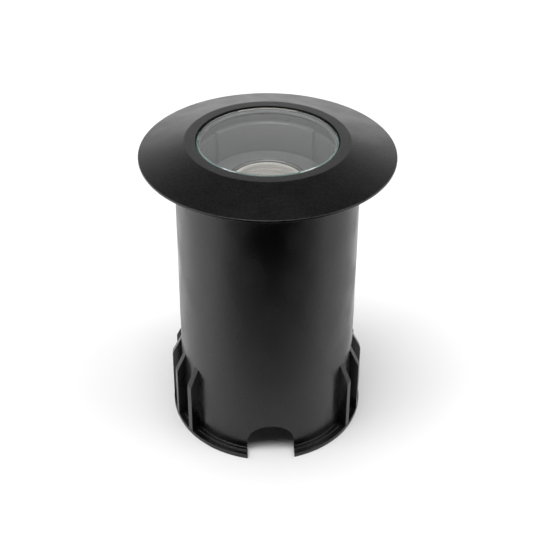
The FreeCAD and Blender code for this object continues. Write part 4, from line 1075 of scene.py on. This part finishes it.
class WELL_OT_clip(bpy.types.Operator):
    """Model the open wire clip over the lamp's rim"""
    bl_idname = "well.clip"
    bl_label = "Lamp clip"

    def execute(self, context):
        bottom, top = low("lamp_clip").z, high("lamp_clip").z
        radius = (top - bottom) / 2
        wire = lathe(round_section(high("lamp_clip").x - radius, (top + bottom) / 2, radius, 12),
                     steps=120, sweep=math.radians(344))
        # The clip's colour is darkened to 0.45 as painted shade of the dark band between the tray's collar and the
        # lamp.
        spring = satin_steel("spring_wire", context.scene.well_colours, 0.3, shine=0.45)
        keep_mesh("lamp_clip_wire", wire, [spring], "clip", "lamp_clip")
        return {"FINISHED"}


class WELL_OT_lampholder(bpy.types.Operator):
    """Model the ceramic lampholder with its slots and holes"""
    bl_idname = "well.lampholder"
    bl_label = "Lampholder"

    def execute(self, context):
        s = context.scene.well_holder
        bottom, top = low("lampholder").z, high("lampholder").z
        width, breadth = 2 * high("lampholder").x, 2 * high("lampholder").y
        slot_bottom = bottom + s.slot_level
        slot_top = slot_bottom + s.slot_height
        holder = block(width, breadth, bottom, top, 0.4 * MM, 1.5 * MM)
        slots = block(width + 2 * MM, s.slot_width, slot_bottom, slot_top, 0.3 * MM)
        core = block(width - 2 * s.slot_depth, breadth, slot_bottom - 0.5 * MM, slot_top + 0.5 * MM, 0.2 * MM)
        holder = carve(holder, carve(slots, core, "DIFFERENCE"), "DIFFERENCE")
        holes = bmesh.new()
        for side in (1, -1):
            pin = context.scene.well_lamp.pin_spacing / 2 * side
            merge_into(holes, round_bar(s.pin_way, top - s.pin_way_depth, top + 1 * MM, across=pin),
                       round_bar(s.screw_way, bottom - 1 * MM, bottom + s.screw_way_depth,
                                 across=s.screw_place * side))
        keep_mesh("lampholder_block", carve(holder, holes, "DIFFERENCE"),
                  [steatite_ceramic(context.scene.well_colours)], "tray", "lampholder")
        return {"FINISHED"}


class WELL_OT_strap(bpy.types.Operator):
    """Model the bent sheet-metal strap under the tray, punched for its screws and the leads"""
    bl_idname = "well.strap"
    bl_label = "Lampholder strap"

    def execute(self, context):
        s = context.scene.well_holder
        node = "lampholder_strap"
        bottom, top, end, half_width = low(node).z, high(node).z, high(node).x, high(node).y
        floor, under = bottom + s.strap_metal, top - s.strap_metal
        outer = end - s.strap_foot
        inner = outer - s.strap_metal
        outline = [(-end, top), (-inner, top), (-inner, floor), (inner, floor), (inner, top), (end, top),
                   (end, under), (outer, under), (outer, bottom), (-outer, bottom), (-outer, under), (-end, under)]
        bend = s.strap_bend
        wide = bend + s.strap_metal
        roundings = [0, wide, bend, bend, wide, 0, 0, bend, wide, wide, bend, 0]
        strap = slab(outline, 2 * half_width, 0, 0.12 * MM, roundings)
        holes = merge_into(bmesh.new(), round_bar(s.lead_way, bottom - 1 * MM, top + 1 * MM))
        for place in (end - s.strap_foot / 2, s.screw_place):
            for side in (1, -1):
                merge_into(holes, round_bar(s.screw_way, bottom - 1 * MM, top + 1 * MM, across=place * side))
        zinc = satin_steel("zinc_plated_strap", context.scene.well_colours, 0.3)
        keep_mesh("lampholder_strap_sheet", carve(strap, holes, "DIFFERENCE"), [zinc], "tray", node)
        return {"FINISHED"}


class WELL_OT_fasteners(bpy.types.Operator):
    """Model the screws under the strap, and the pivots' screws, washers and nuts"""
    bl_idname = "well.fasteners"
    bl_label = "Fasteners"

    def execute(self, context):
        s = context.scene.well_holder
        steel = satin_steel("stainless_fasteners", context.scene.well_colours, 0.25)
        for node, name, place in (("strap_screws", "strap_screw_pair", s.strap_screw_place),
                                  ("lampholder_screws", "lampholder_screw_pair", s.screw_place)):
            bottom, top, head_radius = low(node).z, high(node).z, high(node).y
            pair = bmesh.new()
            for side in (1, -1):
                screw = pan_head_screw(head_radius, s.screw_head, s.screw_shank, top - bottom - s.screw_head)
                merge_into(pair, placed(screw, (place * side, 0, bottom + s.screw_head),
                                        Matrix.Rotation(math.pi, 3, "X")))
            keep_mesh(name, pair, [steel], "tray", node)
        way = s.pivot_shank + 0.05 * MM
        shank = high("pivot_screws").x - s.pivot_head - (high("pivot_nuts").x - s.nut_height)

        def pivot_screw(radius, end):
            """Head outwards, shank through ring, ear and nut."""
            return placed(pan_head_screw(radius, s.pivot_head, s.pivot_shank, shank), (0, 0, end - s.pivot_head))

        def pivot_washer(radius, end):
            """Flat washer between ear and aiming ring."""
            return lathe([(way, end - s.washer_thickness, 0.05 * MM), (radius, end - s.washer_thickness, 0.1 * MM),
                          (radius, end, 0.1 * MM), (way, end, 0.05 * MM)], steps=40)

        def pivot_nut(radius, end):
            """Hexagonal nut at the shank's inner end."""
            return hexagon(2 * radius * math.cos(math.pi / 6), end - s.nut_height, end, way, 0.35 * MM)

        for node, name, shape in (("pivot_screws", "pivot_screw_pair", pivot_screw),
                                  ("pivot_washers", "pivot_washer_pair", pivot_washer),
                                  ("pivot_nuts", "pivot_nut_pair", pivot_nut)):
            pair = bmesh.new()
            for side in (1, -1):
                merge_into(pair, placed(shape(high(node).z - PIVOT_LEVEL, high(node).x), (0, 0, PIVOT_LEVEL),
                                        Matrix.Rotation(math.pi / 2 * side, 3, "Y")))
            keep_mesh(name, pair, [steel], "aiming_ring", node)
        return {"FINISHED"}


class WELL_OT_stage(bpy.types.Operator):
    """Set up the pale floor, the soft light and the camera"""
    bl_idname = "well.stage"
    bl_label = "Studio"

    def execute(self, context):
        scene = context.scene
        scene.view_settings.view_transform = "Standard"
        build_world(scene)
        build_floor(scene)
        add_softbox(scene, "back_softbox", Vector((0, 1.6, 0.5)), 2.2, 0.6, 6.0)
        add_skylight(scene, "left_daylight", -50, 1.8)
        add_skylight(scene, "right_daylight", 55, 0.9)
        for name, side in (("left_softbox", -1), ("right_softbox", 1)):
            box = add_softbox(scene, name, Vector((0.85 * side, -0.28, 1.04)), 0.5, 0.24, 2.8)
            box.visible_transmission = False  # it is small and bright, and would only be noise behind the glass
        add_camera(scene)
        return {"FINISHED"}


def direction(azimuth, elevation):
    """The way to something seen at this azimuth, counted from the front arch, and at this elevation."""
    return Vector((math.sin(azimuth) * math.cos(elevation), -math.cos(azimuth) * math.cos(elevation),
                   math.sin(elevation)))


def add_to_stage(scene, name, data):
    """Put a light or the camera in the scene."""
    holder = bpy.data.objects.new(name, data)
    scene.collection.objects.link(holder)
    return holder


def add_skylight(scene, name, degrees_round, strength):
    """A very soft far light from high up."""
    lamp = bpy.data.lights.new(name, "SUN")
    lamp.angle = math.radians(36)
    lamp.energy = strength
    source = direction(math.radians(degrees_round), math.radians(76))
    add_to_stage(scene, name, lamp).matrix_world = source.to_track_quat("Z", "Y").to_matrix().to_4x4()


def build_world(scene):
    """A white sweep behind and beside the object, open and dark above and on the camera's side."""
    scene.world = bpy.data.worlds.new("studio_world")
    tree = empty_tree(scene.world)
    way = add_node(tree, "ShaderNodeTexCoord").outputs["Generated"]
    part = add_node(tree, "ShaderNodeSeparateXYZ", links={"Vector": way})
    height = add_node(tree, "ShaderNodeMapRange", {
        "From Min": 0.10, "From Max": 0.88, "To Min": 1.6, "To Max": 0.03,
        "interpolation_type": "SMOOTHSTEP"}, {"Value": part.outputs["Z"]})
    side = add_node(tree, "ShaderNodeMapRange", {
        "From Min": -0.75, "From Max": 0.15, "To Min": 0.06, "To Max": 1.0,
        "interpolation_type": "SMOOTHSTEP"}, {"Value": part.outputs["Y"]})
    sweep = add_node(tree, "ShaderNodeMath", {"operation": "MULTIPLY"})
    tree.links.new(height.outputs[0], sweep.inputs[0])
    tree.links.new(side.outputs[0], sweep.inputs[1])
    seen = add_node(tree, "ShaderNodeLightPath").outputs["Is Camera Ray"]
    strength = add_node(tree, "ShaderNodeMix", {"data_type": "FLOAT", "B": 0.975},
                        {"Factor": seen, "A": sweep.outputs[0]})
    background = add_node(tree, "ShaderNodeBackground", links={"Strength": strength.outputs[0]})
    background.inputs["Color"].default_value = (1, 1, 1, 1)
    add_node(tree, "ShaderNodeOutputWorld", links={"Surface": background.outputs[0]})


# How bright the object mirrors the floor, as painted shade and light in the floor's colour: dark near a point in
# front on the camera's side, brighter farther out. (share of the way outwards, brightness).
FLOOR_MIRRORED = ((0.10, 0.0), (0.25, 0.10), (0.38, 0.30), (0.55, 0.32), (0.70, 0.56), (0.85, 0.84))


def build_floor(scene):
    """A wide pale floor that keeps the object's soft shadow; for all but camera rays its colour carries painted
    shade, dark in front, and painted light, brighter to the left.
    """
    bm = bmesh.new()
    bmesh.ops.create_grid(bm, x_segments=1, y_segments=1, size=6.0)
    mesh = bpy.data.meshes.new("floor")
    bm.to_mesh(mesh)
    bm.free()
    floor = bpy.data.objects.new("floor", mesh)
    scene.collection.objects.link(floor)
    material = bpy.data.materials.new("pale_floor")
    tree = empty_tree(material)
    place = add_node(tree, "ShaderNodeTexCoord").outputs["Object"]
    apart = add_node(tree, "ShaderNodeVectorMath", {"operation": "DISTANCE"}, {"Vector": place})
    apart.inputs[1].default_value = (0.015, -0.70, 0)
    reach = add_node(tree, "ShaderNodeMapRange", {"From Min": 0.36, "From Max": 0.66},
                     {"Value": apart.outputs["Value"]})
    share = add_node(tree, "ShaderNodeValToRGB", links={"Fac": reach.outputs[0]})
    share.color_ramp.interpolation = "B_SPLINE"
    ends = share.color_ramp.elements
    ends[1].color = [0.98] * 3 + [1]
    for outwards, brightness in FLOOR_MIRRORED:
        ends.new(outwards).color = [brightness] * 3 + [1]
    seen = add_node(tree, "ShaderNodeLightPath").outputs["Is Camera Ray"]
    across = add_node(tree, "ShaderNodeSeparateXYZ", links={"Vector": place}).outputs["X"]
    # Painted light: for all but camera rays the floor's colour is brighter to the left and darker to the right.
    tilt = add_node(tree, "ShaderNodeMapRange", {"From Min": -0.3, "From Max": 0.3, "To Min": 0.98, "To Max": 0.71},
                    {"Value": across})
    mirrored = add_node(tree, "ShaderNodeMath", {"operation": "MULTIPLY"})
    tree.links.new(share.outputs[0], mirrored.inputs[0])
    tree.links.new(tilt.outputs[0], mirrored.inputs[1])
    albedo = add_node(tree, "ShaderNodeMix", {"data_type": "FLOAT", "B": 0.83},
                      {"Factor": seen, "A": mirrored.outputs[0]})
    shader = add_node(tree, "ShaderNodeBsdfDiffuse", links={"Color": albedo.outputs[0]})
    add_node(tree, "ShaderNodeOutputMaterial", links={"Surface": shader.outputs[0]})
    mesh.materials.append(material)


def add_softbox(scene, name, place, width, height, strength):
    """A rectangular area light that faces the object."""
    lamp = bpy.data.lights.new(name, "AREA")
    lamp.shape = "RECTANGLE"
    lamp.size, lamp.size_y = width, height
    lamp.energy = strength
    holder = add_to_stage(scene, name, lamp)
    aim = Vector((0, 0, 0.12)) - place
    holder.matrix_world = Matrix.Translation(place) @ aim.to_track_quat("-Z", "Y").to_matrix().to_4x4()
    return holder


def add_camera(scene):
    """The photograph's view: about 36 degrees down, a little to the left of the front arch."""
    azimuth, elevation, roll = math.radians(-2.9), math.radians(35.78), math.radians(0.24)
    distance = 691.44 * MM
    target = Vector((-0.42 * MM, 0, 117.63 * MM))
    target.rotate(Matrix.Rotation(azimuth, 3, "Z"))
    back = direction(azimuth, elevation)
    camera = bpy.data.cameras.new("camera")
    camera.lens = 67.54
    camera.sensor_width = 36.0
    holder = add_to_stage(scene, "camera", camera)
    look = (-back).to_track_quat("-Z", "Y").to_matrix().to_4x4()
    holder.matrix_world = Matrix.Translation(target + back * distance) @ look @ Matrix.Rotation(roll, 4, "Z")
    scene.camera = holder


# ---------------------------------------------------------------- panel and registration

class WELL_PT_panel(bpy.types.Panel):
    """The well light's steps, sizes and colours"""
    bl_label = "Well Light"
    bl_idname = "WELL_PT_panel"
    bl_space_type = "VIEW_3D"
    bl_region_type = "UI"
    bl_category = "Well Light"

    def draw(self, context):
        for step in STEPS:
            self.layout.operator(step.bl_idname)
        for name, group in GROUPS.items():
            self.layout.label(text=group.__doc__)
            for size in group.__annotations__:
                self.layout.prop(getattr(context.scene, name), size)


STEPS = (WELL_OT_sleeve, WELL_OT_cover, WELL_OT_lens, WELL_OT_seals, WELL_OT_housing, WELL_OT_gland,
         WELL_OT_aiming_ring, WELL_OT_tray, WELL_OT_reflector, WELL_OT_lamp_front, WELL_OT_lamp_base,
         WELL_OT_capsule, WELL_OT_clip, WELL_OT_lampholder, WELL_OT_strap, WELL_OT_fasteners, WELL_OT_stage)
GROUPS = {"well_sleeve": SleeveSizes, "well_cover": CoverSizes, "well_housing": HousingSizes,
          "well_gland": GlandSizes, "well_lamp": LampSizes, "well_holder": HolderSizes, "well_colours": Colours}


def register():
    for name, group in GROUPS.items():
        bpy.utils.register_class(group)
        setattr(bpy.types.Scene, name, PointerProperty(type=group))
    for each in STEPS + (WELL_PT_panel,):
        bpy.utils.register_class(each)


def unregister():
    for each in reversed(STEPS + (WELL_PT_panel,)):
        bpy.utils.unregister_class(each)
    for name, group in GROUPS.items():
        delattr(bpy.types.Scene, name)
        bpy.utils.unregister_class(group)


def main():
    """Make every piece in order."""
    register()
    for step in STEPS:
        group, action = step.bl_idname.split(".")
        getattr(getattr(bpy.ops, group), action)()


if __name__ == "__main__":
    main()
